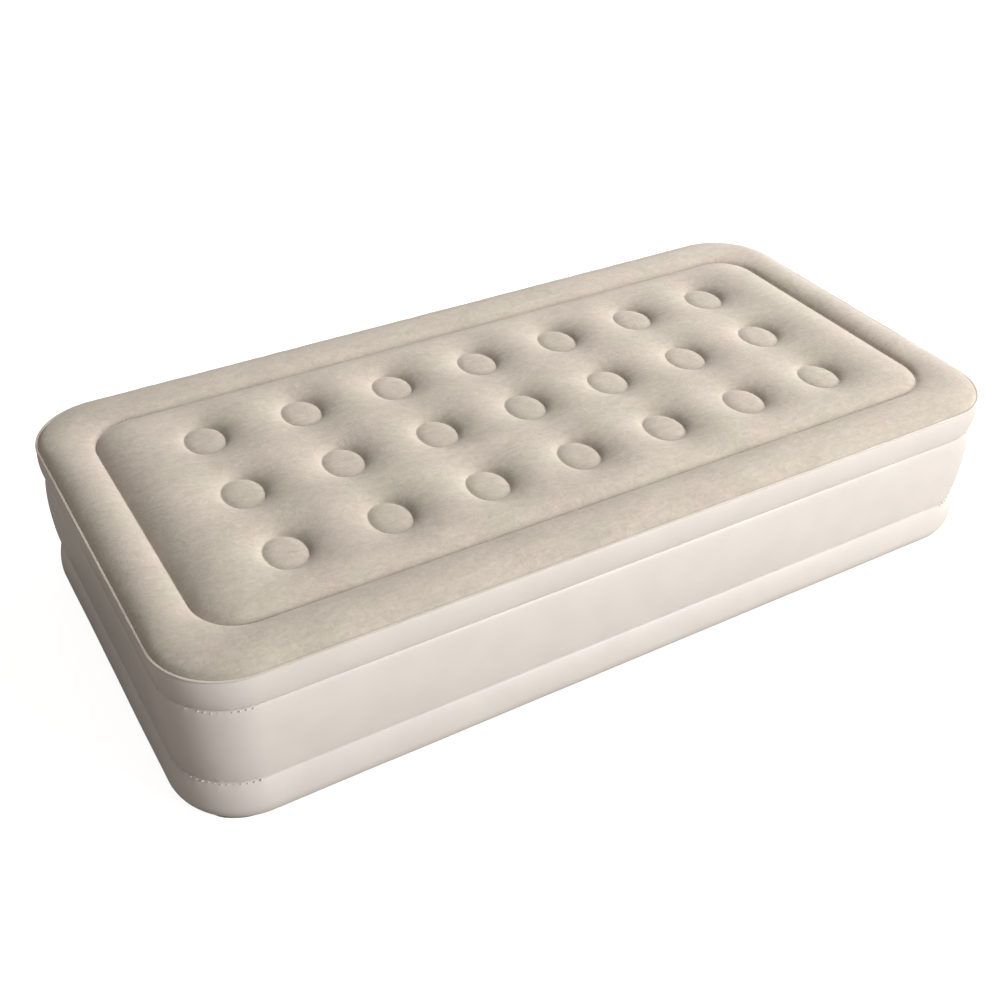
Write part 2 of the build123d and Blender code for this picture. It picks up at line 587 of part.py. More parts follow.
# ---------------------------------------------------------------- check valve on the well's side wall
VALVE_FACE_Y = -WELL_Y / 2
SEAT_T = 2.5
FLAP_T = 1.5
FLAP_GAP = 0.3
FLAP_KNUCKLE_R = 1.8
SEAT_Y = VALVE_FACE_Y - SEAT_T
FLAP_PIN_Y = SEAT_Y - FLAP_KNUCKLE_R - 0.4
FLAP_PIN_Z = VALVE_Z + 13.5
EAR_REACH = 5
EAR_X = ((VALVE_X - 10, VALVE_X - 7.3), (VALVE_X + 7.3, VALVE_X + 10))

with BuildPart() as valve_seat:
    rod_y(VALVE_X, VALVE_Z, 12, SEAT_Y, VALVE_FACE_Y)
    box_at((VALVE_X - 10, VALVE_X + 10), (SEAT_Y, VALVE_FACE_Y), (VALVE_Z, VALVE_Z + 17))
    for ear in EAR_X:
        box_at(ear, (SEAT_Y - EAR_REACH, SEAT_Y), (VALVE_Z + 11, VALVE_Z + 17))
    rod_y(VALVE_X, VALVE_Z, VALVE_R, SEAT_Y - 1, VALVE_FACE_Y + 1, Mode.SUBTRACT)
    rod_x(FLAP_PIN_Y, FLAP_PIN_Z, PIN_R, VALVE_X - 11, VALVE_X + 11, Mode.SUBTRACT)
save(valve_seat, "valve_seat")

with BuildPart() as valve_flap:
    flap_y = (SEAT_Y - FLAP_GAP - FLAP_T, SEAT_Y - FLAP_GAP)
    rod_y(VALVE_X, VALVE_Z, VALVE_R + 2, *flap_y)
    box_at((VALVE_X - 6, VALVE_X + 6), flap_y, (VALVE_Z + 6, FLAP_PIN_Z))
    rod_x(FLAP_PIN_Y, FLAP_PIN_Z, FLAP_KNUCKLE_R, VALVE_X - 7, VALVE_X + 7)
    rod_x(FLAP_PIN_Y, FLAP_PIN_Z, PIN_R + RUNNING_GAP, VALVE_X - 8, VALVE_X + 8, Mode.SUBTRACT)
save(valve_flap, "valve_flap")

with BuildPart() as flap_pin:
    rod_x(FLAP_PIN_Y, FLAP_PIN_Z, PIN_R, VALVE_X - 10, VALVE_X + 10)
save(flap_pin, "flap_pin")
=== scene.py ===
import json
import math

import bmesh
import bpy
import numpy as np
from mathutils import Matrix, Vector, noise


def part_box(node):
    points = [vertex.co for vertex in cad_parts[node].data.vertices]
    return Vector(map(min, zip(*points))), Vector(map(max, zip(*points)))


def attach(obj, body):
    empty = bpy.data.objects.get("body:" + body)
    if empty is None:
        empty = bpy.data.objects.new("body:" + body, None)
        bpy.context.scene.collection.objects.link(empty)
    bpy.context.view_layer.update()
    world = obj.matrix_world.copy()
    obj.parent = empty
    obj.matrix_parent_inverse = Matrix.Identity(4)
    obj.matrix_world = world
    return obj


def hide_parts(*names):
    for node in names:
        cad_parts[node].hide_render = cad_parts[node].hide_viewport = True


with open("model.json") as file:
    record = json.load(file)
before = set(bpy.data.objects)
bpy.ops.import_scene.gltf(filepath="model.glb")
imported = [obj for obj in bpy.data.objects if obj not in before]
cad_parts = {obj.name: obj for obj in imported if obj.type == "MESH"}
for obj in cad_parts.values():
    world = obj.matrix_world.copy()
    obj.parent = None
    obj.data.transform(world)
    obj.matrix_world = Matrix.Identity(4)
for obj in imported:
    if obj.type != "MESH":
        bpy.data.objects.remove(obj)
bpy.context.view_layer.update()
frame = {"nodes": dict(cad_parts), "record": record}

# ---------------------------------------------------------------- sizes, in metres
# Places come from the CAD frame; these are the shapes that a box can't say.
CORNER_R = 0.142
CREASE_R = 0.095
PUMP_CORNER_R = 0.016
SKIN = 0.0015

_, top_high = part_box("top_sheet")
_, upper_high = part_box("upper_side_band")
middle_low, middle_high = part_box("middle_side_band")
_, web_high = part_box("border_web")
collar_low, collar_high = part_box("pump_collar")
coil_boxes = [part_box(name) for name in sorted(frame["nodes"]) if name.startswith("coil_tube")]

SEAM_X = top_high.x
SEAM_Y = top_high.y
SEAM_Z = upper_high.z
UPPER_GROOVE_Z = middle_high.z
LOWER_GROOVE_Z = middle_low.z
CREASE_X = web_high.x
CREASE_Y = web_high.y
DISC_R = (coil_boxes[0][1].x - coil_boxes[0][0].x) / 2 + 0.001
DISC_Z = coil_boxes[0][1].z + 0.002
coil_spots = [((low.x + high.x) / 2, (low.y + high.y) / 2) for low, high in coil_boxes]
columns = sorted({round(x, 5) for x, _ in coil_spots})
rows = sorted({round(y, 5) for _, y in coil_spots})
PITCH_X = columns[1] - columns[0]
PITCH_Y = rows[1] - rows[0]


# ---------------------------------------------------------------- shader helpers
def new_material(name):
    """A material with only a Principled shader and its output."""
    material = bpy.data.materials.new(name)
    material.use_nodes = True
    nodes = material.node_tree.nodes
    nodes.clear()
    output = nodes.new("ShaderNodeOutputMaterial")
    shader = nodes.new("ShaderNodeBsdfPrincipled")
    material.node_tree.links.new(shader.outputs["BSDF"], output.inputs["Surface"])
    return material, shader


def add_node(tree, kind, **values):
    """A node with its properties and its input values set: names that match an input go to the input."""
    node = tree.nodes.new(kind)
    for name, value in values.items():
        label = name.replace("_", " ").title()
        if label in node.inputs:
            node.inputs[label].default_value = value
        else:
            setattr(node, name, value)
    return node


def group_node(tree, group, **values):
    """A node that uses a shader group, with its inputs set by name."""
    node = tree.nodes.new("ShaderNodeGroup")
    node.node_tree = group
    for name, value in values.items():
        node.inputs[name.replace("_", " ").title()].default_value = value
    return node


def new_group(name, inputs, outputs, kind="ShaderNodeTree"):
    """A node group with its input and output sockets, each (name, kind, default) or (name, kind)."""
    group = bpy.data.node_groups.new(name, kind)
    for label, kind, default in inputs:
        socket = group.interface.new_socket(label, in_out="INPUT", socket_type=kind)
        if default is not None:
            socket.default_value = default
    for label, kind in outputs:
        group.interface.new_socket(label, in_out="OUTPUT", socket_type=kind)
    return group, group.nodes.new("NodeGroupInput"), group.nodes.new("NodeGroupOutput")


FLOAT = "NodeSocketFloat"


def feed(tree, socket, value):
    """Link another node's output to the socket, or set the socket to a plain value."""
    if isinstance(value, bpy.types.NodeSocket):
        tree.links.new(value, socket)
    else:
        socket.default_value = value


def mix_colour(tree, factor, first, second, blend_type="MIX"):
    """A colour mix of two sockets or colours."""
    node = tree.nodes.new("ShaderNodeMix")
    node.data_type = "RGBA"
    node.blend_type = blend_type
    for socket, value in ((node.inputs[0], factor), (node.inputs[6], first), (node.inputs[7], second)):
        feed(tree, socket, value)
    return node.outputs[2]


def maths(tree, operation, first, second=0.0):
    """A maths node on two sockets or values."""
    node = tree.nodes.new("ShaderNodeMath")
    node.operation = operation
    for socket, value in zip(node.inputs, (first, second)):
        feed(tree, socket, value)
    return node.outputs[0]


def noise_texture(tree, place, scale, **values):
    """A noise texture read at a place; scale is a socket or a value."""
    node = add_node(tree, "ShaderNodeTexNoise", **values)
    tree.links.new(place, node.inputs["Vector"])
    feed(tree, node.inputs["Scale"], scale)
    return node.outputs["Fac"]


def remap(tree, value, low, high, to_low=0.0, to_high=1.0):
    """A value stretched from one range to another, and held inside the new one."""
    node = tree.nodes.new("ShaderNodeMapRange")
    tree.links.new(value, node.inputs["Value"])
    node.inputs["From Min"].default_value = low
    node.inputs["From Max"].default_value = high
    node.inputs["To Min"].default_value = to_low
    node.inputs["To Max"].default_value = to_high
    return node.outputs["Result"]


def nap_group():
    """Clouds, brushed strokes and fibres of a short flocked pile."""
    group, given, result = new_group(
        "flock_nap",
        [
            ("Cloud Scale", FLOAT, 7.0),
            ("Stroke Scale", FLOAT, 42.0),
            ("Mottle Scale", FLOAT, 75.0),
            ("Fibre Scale", FLOAT, 620.0),
        ],
        [("Cloud", FLOAT), ("Stroke", FLOAT), ("Mottle", FLOAT), ("Fibre", FLOAT), ("Hue", FLOAT)],
    )
    place = add_node(group, "ShaderNodeTexCoord").outputs["Object"]
    brushed = add_node(group, "ShaderNodeMapping")
    brushed.inputs["Rotation"].default_value = (0.0, 0.0, 0.5)
    brushed.inputs["Scale"].default_value = (0.35, 1.0, 1.0)
    group.links.new(place, brushed.inputs["Vector"])
    strokes = brushed.outputs["Vector"]
    size = given.outputs
    layers = (
        ("Cloud", place, size["Cloud Scale"], {"detail": 4.0, "roughness": 0.55, "distortion": 0.6}),
        ("Stroke", strokes, size["Stroke Scale"], {"detail": 5.0, "roughness": 0.62, "distortion": 2.2}),
        ("Fibre", place, size["Fibre Scale"], {"detail": 2.0, "roughness": 0.6}),
        ("Mottle", place, size["Mottle Scale"], {"detail": 6.0, "roughness": 0.66, "distortion": 0.9}),
        ("Hue", place, 6.0, {"detail": 3.0, "roughness": 0.55, "distortion": 1.2}),
    )
    for label, where, scale, values in layers:
        group.links.new(noise_texture(group, where, scale, **values), result.inputs[label])
    return group


def grain_group():
    """Fine pitted grain and slow waviness of calendered vinyl or moulded plastic."""
    group, given, result = new_group(
        "moulded_grain",
        [("Grain Scale", FLOAT, 900.0), ("Wave Scale", FLOAT, 14.0)],
        [("Grain", FLOAT), ("Wave", FLOAT), ("Dust", FLOAT)],
    )
    place = add_node(group, "ShaderNodeTexCoord").outputs["Object"]
    layers = (
        ("Grain", given.outputs["Grain Scale"], {"detail": 3.0, "roughness": 0.6}),
        ("Wave", given.outputs["Wave Scale"], {"detail": 2.0, "roughness": 0.45}),
        ("Dust", 60.0, {"detail": 6.0, "roughness": 0.7}),
    )
    for label, scale, values in layers:
        group.links.new(noise_texture(group, place, scale, **values), result.inputs[label])
    return group


NAP = nap_group()
GRAIN = grain_group()


def bump(tree, shader, height, distance, strength=1.0, below=None):
    """A bump that feeds the shader's normal, on top of another bump when one is given."""
    node = add_node(tree, "ShaderNodeBump", strength=strength, distance=distance)
    tree.links.new(height, node.inputs["Height"])
    if below is not None:
        tree.links.new(below, node.inputs["Normal"])
    tree.links.new(node.outputs["Normal"], shader.inputs["Normal"])
    return node.outputs["Normal"]


# ---------------------------------------------------------------- materials
def flock_material():
    """Short brushed pile: clouded, streaked and mottled, with a soft sheen."""
    material, shader = new_material("beige_flock")
    tree = material.node_tree
    nap = group_node(tree, NAP)
    warm, cool = (0.503, 0.443, 0.386, 1), (0.491, 0.449, 0.379, 1)
    base = mix_colour(tree, remap(tree, nap.outputs["Hue"], 0.35, 0.65), warm, cool)
    shade = remap(tree, nap.outputs["Cloud"], 0.3, 0.7, 0.93, 1.06)
    for label, dark, light in (("Stroke", 0.92, 1.07), ("Mottle", 0.91, 1.08), ("Fibre", 0.94, 1.05)):
        shade = maths(tree, "MULTIPLY", shade, remap(tree, nap.outputs[label], 0.3, 0.7, dark, light))
    grey = add_node(tree, "ShaderNodeCombineColor")
    for channel in ("Red", "Green", "Blue"):
        tree.links.new(shade, grey.inputs[channel])
    colour = mix_colour(tree, 1.0, base, grey.outputs["Color"], "MULTIPLY")
    tree.links.new(colour, shader.inputs["Base Color"])
    shader.inputs["Roughness"].default_value = 0.92
    shader.inputs["Specular IOR Level"].default_value = 0.15
    shader.inputs["Sheen Weight"].default_value = 0.35
    shader.inputs["Sheen Roughness"].default_value = 0.45
    shader.inputs["Sheen Tint"].default_value = (0.95, 0.90, 0.84, 1)
    low = bump(tree, shader, nap.outputs["Stroke"], 0.0009)
    middle = bump(tree, shader, nap.outputs["Mottle"], 0.0007, 0.8, low)
    bump(tree, shader, nap.outputs["Fibre"], 0.0004, 0.7, middle)
    return material


def vinyl_material(
    name, colour, roughness, grain_scale, grain_depth, wave_depth=0.0, specular=0.5, metallic=0.0
):
    """Sheet vinyl or moulded plastic: a fine grain, slow waves in tone and height, and uneven gloss."""
    material, shader = new_material(name)
    tree = material.node_tree
    grain = group_node(tree, GRAIN, grain_scale=grain_scale)
    dark = tuple(c * 0.975 for c in colour) + (1,)
    light = tuple(min(1.0, c * 1.01) for c in colour) + (1,)
    tone = mix_colour(tree, remap(tree, grain.outputs["Wave"], 0.35, 0.65), dark, light)
    tree.links.new(tone, shader.inputs["Base Color"])
    gloss = remap(tree, grain.outputs["Dust"], 0.3, 0.7, roughness - 0.05, roughness + 0.08)
    tree.links.new(gloss, shader.inputs["Roughness"])
    low = bump(tree, shader, grain.outputs["Wave"], wave_depth)
    bump(tree, shader, grain.outputs["Grain"], grain_depth, 0.6, low)
    shader.inputs["Specular IOR Level"].default_value = specular
    shader.inputs["Metallic"].default_value = metallic
    return material


FLOCK = flock_material()
SIDE_VINYL = vinyl_material(
    "cream_side_vinyl", (0.690, 0.645, 0.612), 0.40, 1000.0, 0.00012, 0.00025, specular=0.45
)
SEAM_VINYL = vinyl_material("welded_seam_vinyl", (0.58, 0.525, 0.46), 0.45, 1500.0, 0.00012, 0.0003)
BASE_VINYL = vinyl_material("textured_base_vinyl", (0.16, 0.135, 0.115), 0.6, 500.0, 0.0004, 0.0004)
INNER_VINYL = vinyl_material("plain_inner_vinyl", (0.62, 0.58, 0.53), 0.45, 1200.0, 0.0001, 0.0004)
FACE_PLASTIC = vinyl_material("taupe_face_plastic", (0.30, 0.265, 0.228), 0.48, 1800.0, 0.00012)
DARK_PLASTIC = vinyl_material("dark_moulded_plastic", (0.028, 0.027, 0.026), 0.42, 1600.0, 0.0001)
SWITCH_PLASTIC = vinyl_material("gloss_switch_plastic", (0.012, 0.012, 0.012), 0.22, 1200.0, 0.00003)
BLACK_RUBBER = vinyl_material("black_rubber", (0.018, 0.017, 0.016), 0.72, 900.0, 0.00015)
BRIGHT_STEEL = vinyl_material("bright_steel", (0.56, 0.55, 0.53), 0.28, 2400.0, 0.00004, metallic=1.0)

SLOT_MATERIALS = {
    "flocked_top": FLOCK,
    "side_vinyl": SIDE_VINYL,
    "seam_vinyl": SEAM_VINYL,
    "base_vinyl": BASE_VINYL,
    "inner_vinyl": INNER_VINYL,
    "face_plastic": FACE_PLASTIC,
    "dark_plastic": DARK_PLASTIC,
    "switch_plastic": SWITCH_PLASTIC,
    "black_rubber": BLACK_RUBBER,
    "bright_steel": BRIGHT_STEEL,
}
for part in frame["record"]["subparts"]:
    slots = frame["nodes"][part["node"]].data.materials
    slots.clear()
    slots.append(SLOT_MATERIALS[part["material_slot"]])


# ---------------------------------------------------------------- mesh helpers
def finish_mesh(name, points, faces, material, smooth=True):
    """A piece made of these points and faces, in one material."""
    mesh = bpy.data.meshes.new(name)
    mesh.from_pydata([tuple(p) for p in points], [], faces)
    mesh.validate()
    mesh.materials.append(material)
    if smooth:
        mesh.shade_smooth()
    piece = bpy.data.objects.new(name, mesh)
    bpy.context.scene.collection.objects.link(piece)
    return piece


def apply_modifiers(piece):
    """Turn the piece's modifiers into its mesh."""
    bpy.context.view_layer.update()
    evaluated = piece.evaluated_get(bpy.context.evaluated_depsgraph_get())
    mesh = bpy.data.meshes.new_from_object(evaluated)
    piece.modifiers.clear()
    old = piece.data
    piece.data = mesh
    mesh.name = old.name
    bpy.data.meshes.remove(old)


def thicken(piece):
    """Give a sheet its thickness, inward from its outer face."""
    thickness = piece.modifiers.new("thickness", "SOLIDIFY")
    thickness.thickness = SKIN
    thickness.offset = -1
    apply_modifiers(piece)


def rounded_loop(half_x, half_y, radius, along, across):
    """Points and outward normals round a rounded rectangle, from corner middle to corner middle on each side.

    The long sides take `along` steps and the short sides `across`, evenly by length; it starts at the
    (-x, -y) corner and runs along -y first.
    """
    points, normals = [], []
    eighth = radius * math.pi / 4
    corners = ((-1, -1), (1, -1), (1, 1), (-1, 1))
    for side, (sx, sy) in enumerate(corners):
        steps = along if side % 2 == 0 else across
        straight = 2 * ((half_x if side % 2 == 0 else half_y) - radius)
        ex, ey = corners[(side + 1) % 4]
        run = Vector(((ex - sx) / 2, (ey - sy) / 2))
        out = Vector((run.y, -run.x))
        start = Vector((sx * (half_x - radius), sy * (half_y - radius)))
        end = Vector((ex * (half_x - radius), ey * (half_y - radius)))
        for step in range(steps):
            s = step / steps * (straight + 2 * eighth)
            if s < eighth and radius > 0:
                angle = math.pi / 4 - s / radius
                normal = out * math.cos(angle) - run * math.sin(angle)
                centre = start
            elif s > straight + eighth and radius > 0:
                angle = (s - straight - eighth) / radius
                normal = out * math.cos(angle) + run * math.sin(angle)
                centre = end
            else:
                normal = out
                centre = start + run * (s - eighth)
            points.append(centre + normal * radius)
            normals.append(normal)
    return np.array(points), np.array(normals)


def band_faces(count, rings):
    """Quads between stacked closed loops of `count` points."""
    faces = []
    for ring in range(rings - 1):
        for k in range(count):
            a, b = ring * count + k, ring * count + (k + 1) % count
            faces.append((a, b, b + count, a + count))
    return faces


def bridge(faces, previous, current):
    """Join two closed rings of point numbers with quads."""
    for k in range(len(previous)):
        m = (k + 1) % len(previous)
        faces.append((previous[k], current[k], current[m], previous[m]))


def ring_edges(ring):
    """The edges round a closed ring of point numbers, each as a sorted pair."""
    return [tuple(sorted((ring[k], ring[(k + 1) % len(ring)]))) for k in range(len(ring))]


def wander(x, y, z, scale, seed):
    """Smooth noise from -1 to 1 at a place."""
    return noise.noise(Vector((x * scale + seed, y * scale - seed, z * scale + 2 * seed)))


# ---------------------------------------------------------------- the flocked top
CELL_STEPS = 16
CREST_RISE = 0.0245
BORDER_RISE = 0.0158
CREASE_Z = DISC_Z + 0.0005
DOME_RISE = 0.0055
DISC_WIDE = 0.89
DISC_DEEP = 1.09
CRATER_REACH = 0.040
CREASE_REACH = 0.036
PINCH = 0.0030
PINCH_REACH = 0.0045
RINGS_ROUND_DISC = 7
DISC_CROWD = 1.6
RINGS_TO_CREASE = 8
CREASE_CROWD = 1.7
RINGS_OVER_BORDER = 12
BORDER_CROWD = 0.6
WELD_REACH = 0.0008
MERGE_REACH = 0.00005
AIR_PRESSURE = 4.0
INFLATE_FRAMES = 20
INFLATE_CAP = 0.006


def inward_distance(x, y, half_x, half_y, radius):
    """Distance inward from a rounded rectangle's edge."""
    qx, qy = abs(x) - (half_x - radius), abs(y) - (half_y - radius)
    outside = math.hypot(max(qx, 0.0), max(qy, 0.0))
    return radius - outside - min(max(qx, qy), 0.0)


def crease_distance(x, y):
    """Distance inward from the crease line."""
    return inward_distance(x, y, CREASE_X, CREASE_Y, CREASE_R)


def seam_distance(x, y):
    """Distance inward from the outer seam."""
    return inward_distance(x, y, SEAM_X, SEAM_Y, CORNER_R)


def panel_height(x, y):
    """Height of the blown-up panel between the discs and the crease."""
    rise = CREST_RISE
    nearest = 1.0
    for cx, cy in coil_spots:
        gap = math.hypot((x - cx) / DISC_WIDE, (y - cy) / DISC_DEEP) - DISC_R
        if gap < 6 * CRATER_REACH:
            rise *= 1 - math.exp(-max(gap, 0.0) / CRATER_REACH)
            nearest = min(nearest, max(gap, 0.0))
    edge = max(crease_distance(x, y), 0.0)
    near_edge = math.exp(-edge / CREASE_REACH)
    pinch = PINCH * (1 - math.exp(-edge / PINCH_REACH)) * (1 - math.exp(-nearest / PINCH_REACH))
    return CREASE_Z + rise * (1 - near_edge) + pinch


def disc_height(u):
    """Height inside a disc at a fraction of its radius: a low dome."""
    return CREASE_Z + DOME_RISE * (1 - u**4)


def is_welded(x, y):
    """True on the discs, along the crease and at the outer seam."""
    if abs(crease_distance(x, y)) < WELD_REACH or seam_distance(x, y) < WELD_REACH:
        return True
    return any(
        math.hypot((x - cx) / DISC_WIDE, (y - cy) / DISC_DEEP) < DISC_R * 1.001 for cx, cy in coil_spots
    )


def square_to_disc(u, v):
    """A point of the square from -1 to 1, moved onto the round disc."""
    return u * math.sqrt(1 - v * v / 2), v * math.sqrt(1 - u * u / 2)


def top_mesh():
    """The whole top: a grid on each disc, rings to its cell's edge, then rings to the crease and the seam."""
    points, faces, welds = [], [], []
    index = {}

    def place(x, y, z):
        key = (round(x, 5), round(y, 5))
        if key not in index:
            index[key] = len(points)
            points.append((x, y, z))
        return index[key]

    n = CELL_STEPS
    line = [2 * k / n - 1 for k in range(n + 1)]
    for cx, cy in coil_spots:
        grid = {}
        for i, u in enumerate(line):
            for j, v in enumerate(line):
                x, y = square_to_disc(u, v)
                px, py = cx + x * DISC_R * DISC_WIDE, cy + y * DISC_R * DISC_DEEP
                grid[i, j] = place(px, py, disc_height(math.hypot(x, y)))
        for i in range(n):
            for j in range(n):
                faces.append((grid[i, j], grid[i + 1, j], grid[i + 1, j + 1], grid[i, j + 1]))
        rim = [(i, 0) for i in range(n)] + [(n, j) for j in range(n)]
        rim += [(i, n) for i in range(n, 0, -1)] + [(0, j) for j in range(n, 0, -1)]
        previous = [grid[i, j] for i, j in rim]
        welds += ring_edges(previous)
        for ring in range(1, RINGS_ROUND_DISC + 1):
            t = (ring / RINGS_ROUND_DISC) ** DISC_CROWD
            current = []
            for i, j in rim:
                u, v = line[i], line[j]
                x, y = square_to_disc(u, v)
                px = cx + (1 - t) * x * DISC_R * DISC_WIDE + t * u * PITCH_X / 2
                py = cy + (1 - t) * y * DISC_R * DISC_DEEP + t * v * PITCH_Y / 2
                current.append(place(px, py, panel_height(px, py)))
            bridge(faces, previous, current)
            previous = current

    along, across = n * len(columns), n * len(rows)
    block_x, block_y = PITCH_X * len(columns) / 2, PITCH_Y * len(rows) / 2
    block, _ = rounded_loop(block_x, block_y, 0.0, along, across)
    crease, _ = rounded_loop(CREASE_X, CREASE_Y, CREASE_R, along, across)
    seam, _ = rounded_loop(SEAM_X, SEAM_Y, CORNER_R, along, across)
    previous = [place(x, y, panel_height(x, y)) for x, y in block]
    for ring in range(1, RINGS_TO_CREASE + 1):
        t = 1 - (1 - ring / RINGS_TO_CREASE) ** CREASE_CROWD
        current = []
        for (ax, ay), (bx, by) in zip(block, crease):
            x, y = ax + (bx - ax) * t, ay + (by - ay) * t
            current.append(place(x, y, CREASE_Z if ring == RINGS_TO_CREASE else panel_height(x, y)))
        bridge(faces, previous, current)
        previous = current
    welds += ring_edges(previous)
    for ring in range(1, RINGS_OVER_BORDER + 1):
        eased = 0.5 - 0.5 * math.cos(math.pi * ring / RINGS_OVER_BORDER)
        t = BORDER_CROWD * eased + (1 - BORDER_CROWD) * ring / RINGS_OVER_BORDER
        current = []
        for (ax, ay), (bx, by) in zip(crease, seam):
            x, y = ax + (bx - ax) * t, ay + (by - ay) * t
            arch = 4 * t * (1 - t)
            z = CREASE_Z + (SEAM_Z - CREASE_Z) * t + BORDER_RISE * arch**0.5
            current.append(place(x, y, z))
        bridge(faces, previous, current)
        previous = current
    return points, faces, set(welds)


def inflate(piece, held, cap):
    """Blow the sheet up as cloth under pressure, held at its welds and moved no further than cap."""
    start = np.empty(len(piece.data.vertices) * 3)
    piece.data.vertices.foreach_get("co", start)
    welds = piece.vertex_groups.new(name="welds")
    welds.add(held, 1.0, "REPLACE")
    cloth = piece.modifiers.new("inflate", "CLOTH")
    cloth.settings.quality = 4
    cloth.settings.mass = 0.25
    cloth.settings.tension_stiffness = 25
    cloth.settings.compression_stiffness = 12
    cloth.settings.shear_stiffness = 8
    cloth.settings.bending_stiffness = 1.2
    cloth.settings.use_pressure = True
    cloth.settings.uniform_pressure_force = AIR_PRESSURE
    cloth.settings.vertex_group_mass = "welds"
    cloth.settings.effector_weights.gravity = 0
    cloth.collision_settings.use_collision = False
    scene = bpy.context.scene
    scene.frame_start, scene.frame_end = 1, INFLATE_FRAMES
    cloth.point_cache.frame_start, cloth.point_cache.frame_end = 1, INFLATE_FRAMES
    for step in range(1, INFLATE_FRAMES + 1):
        scene.frame_set(step)
    apply_modifiers(piece)
    scene.frame_set(1)
    end = np.empty_like(start)
    piece.data.vertices.foreach_get("co", end)
    move = (end - start).reshape(-1, 3)
    size = np.linalg.norm(move, axis=1, keepdims=True)
    least = 1e-9
    move *= cap * np.tanh(size / cap) / np.maximum(size, least)
    piece.data.vertices.foreach_set("co", start + move.ravel())
    piece.vertex_groups.clear()


def make_top():
    """The flocked top: its mesh with sharp welds, blown up, smoothed and given a thickness."""
    points, faces, welds = top_mesh()
    top = finish_mesh("flocked_top", points, faces, FLOCK)
    mesh = top.data
    crease = mesh.attributes.new("crease_edge", "FLOAT", "EDGE")
    sharp = [1.0 if tuple(sorted(edge.vertices)) in welds else 0.0 for edge in mesh.edges]
    crease.data.foreach_set("value", sharp)
    sheet = bmesh.new()
    sheet.from_mesh(mesh)
    bmesh.ops.remove_doubles(sheet, verts=sheet.verts, dist=MERGE_REACH)
    sheet.to_mesh(mesh)
    sheet.free()
    held = [v.index for v in mesh.vertices if is_welded(v.co.x, v.co.y)]
    inflate(top, held, INFLATE_CAP)
    smoothing = top.modifiers.new("smooth", "SUBSURF")
    smoothing.levels = smoothing.render_levels = 1
    apply_modifiers(top)
    thicken(top)
    return top


# ---------------------------------------------------------------- the side wall
SIDE_ALONG = 400
SIDE_ACROSS = 210
WALL_UNEVEN = 0.0009
GATHER_REACH = 0.007
GATHER_START = 0.003
STRAIGHT_GATHER = 0.18
BOW_POWER = 0.62
COLLAR_DEPTH = 0.03
COLLAR_EASE = 0.026
COLLAR_OUT = -0.0002
side_points, side_normals = rounded_loop(SEAM_X, SEAM_Y, CORNER_R, SIDE_ALONG, SIDE_ACROSS)


def corner_share(x, y):
    """1 in the middle of a rounded corner, 0 on the straights."""
    qx, qy = abs(x) - (SEAM_X - CORNER_R), abs(y) - (SEAM_Y - CORNER_R)
    if qx <= 0 or qy <= 0:
        return 0.0
    return math.sin(2 * math.atan2(qy, qx)) ** 0.7


def collar_hold(x, y, z):
    """1 where the pump's stiff collar holds the wall flat, easing to 0 around it."""
    if x < SEAM_X - COLLAR_DEPTH:
        return 0.0
    gap_y = max(collar_low.y - y, y - collar_high.y, 0.0)
    gap_z = max(collar_low.z - z, z - collar_high.z, 0.0)
    t = min(1.0, math.hypot(gap_y, gap_z) / COLLAR_EASE)
    return (1 - t) ** 2 * (1 + 2 * t)


def side_skin(name, profile, puckers):
    """A wall band carried round the bed.

    The profile gives (outward, height) points, and puckers the (height, depth) of each groove it gathers at.
    """
    points = []
    for out, z in profile:
        for (x, y), (nx, ny) in zip(side_points, side_normals):
            corner = corner_share(x, y)
            push = WALL_UNEVEN * wander(x, y, z, scale=6.0, seed=3.1)
            for groove_z, depth in puckers:
                gap = abs(z - groove_z)
                near = math.exp(-gap / GATHER_REACH) * min(1.0, gap / GATHER_START)
                gather = wander(x, y, 0.0, scale=75.0, seed=9.7 + groove_z * 10)
                push += depth * near * gather * (STRAIGHT_GATHER + corner)
            hold = collar_hold(x, y, z)
            push = (out + push) * (1 - hold) + COLLAR_OUT * hold
            points.append((x + nx * push, y + ny * push, z))
    piece = finish_mesh(name, points, band_faces(len(side_points), len(profile)), SIDE_VINYL)
    thicken(piece)
    return piece


def bow(low, high, rise, steps, lean=0.0, crowd=0.0):
    """Points of a bowed strip from low to high, each (outward, height); crowd packs them towards the ends."""
    strip = []
    for step in range(steps + 1):
        t = step / steps
        t = (1 - crowd) * t + crowd * (0.5 - 0.5 * math.cos(math.pi * t))
        arch = (4 * t * (1 - t)) ** BOW_POWER
        out = low[0] + (high[0] - low[0]) * t + rise * arch * (1 + lean * (t - 0.5))
        strip.append((out, low[1] + (high[1] - low[1]) * t))
    return strip


def foot_profile(groove, belly_out, belly_z, foot_in, steps):
    """The lower band: from the foot under the bed, round the bottom edge and up to the groove."""
    lift, draw_in = 0.0015, 2.6
    curve = []
    for step in range(steps + 1):
        angle = -math.pi / 2 + math.pi / 2 * step / steps
        out = belly_out - (belly_out + foot_in) * (1 - math.cos(angle))
        z = belly_z + (belly_z - lift) * math.sin(angle)
        curve.append((out, z))
    rise = groove[1] - belly_z
    for step in range(1, steps + 1):
        t = step / steps
        curve.append((belly_out + (groove[0] - belly_out) * t**draw_in, belly_z + rise * t))
    return curve


GROOVE_OUT = -0.004
LOWER_GROOVE_OUT = -0.006


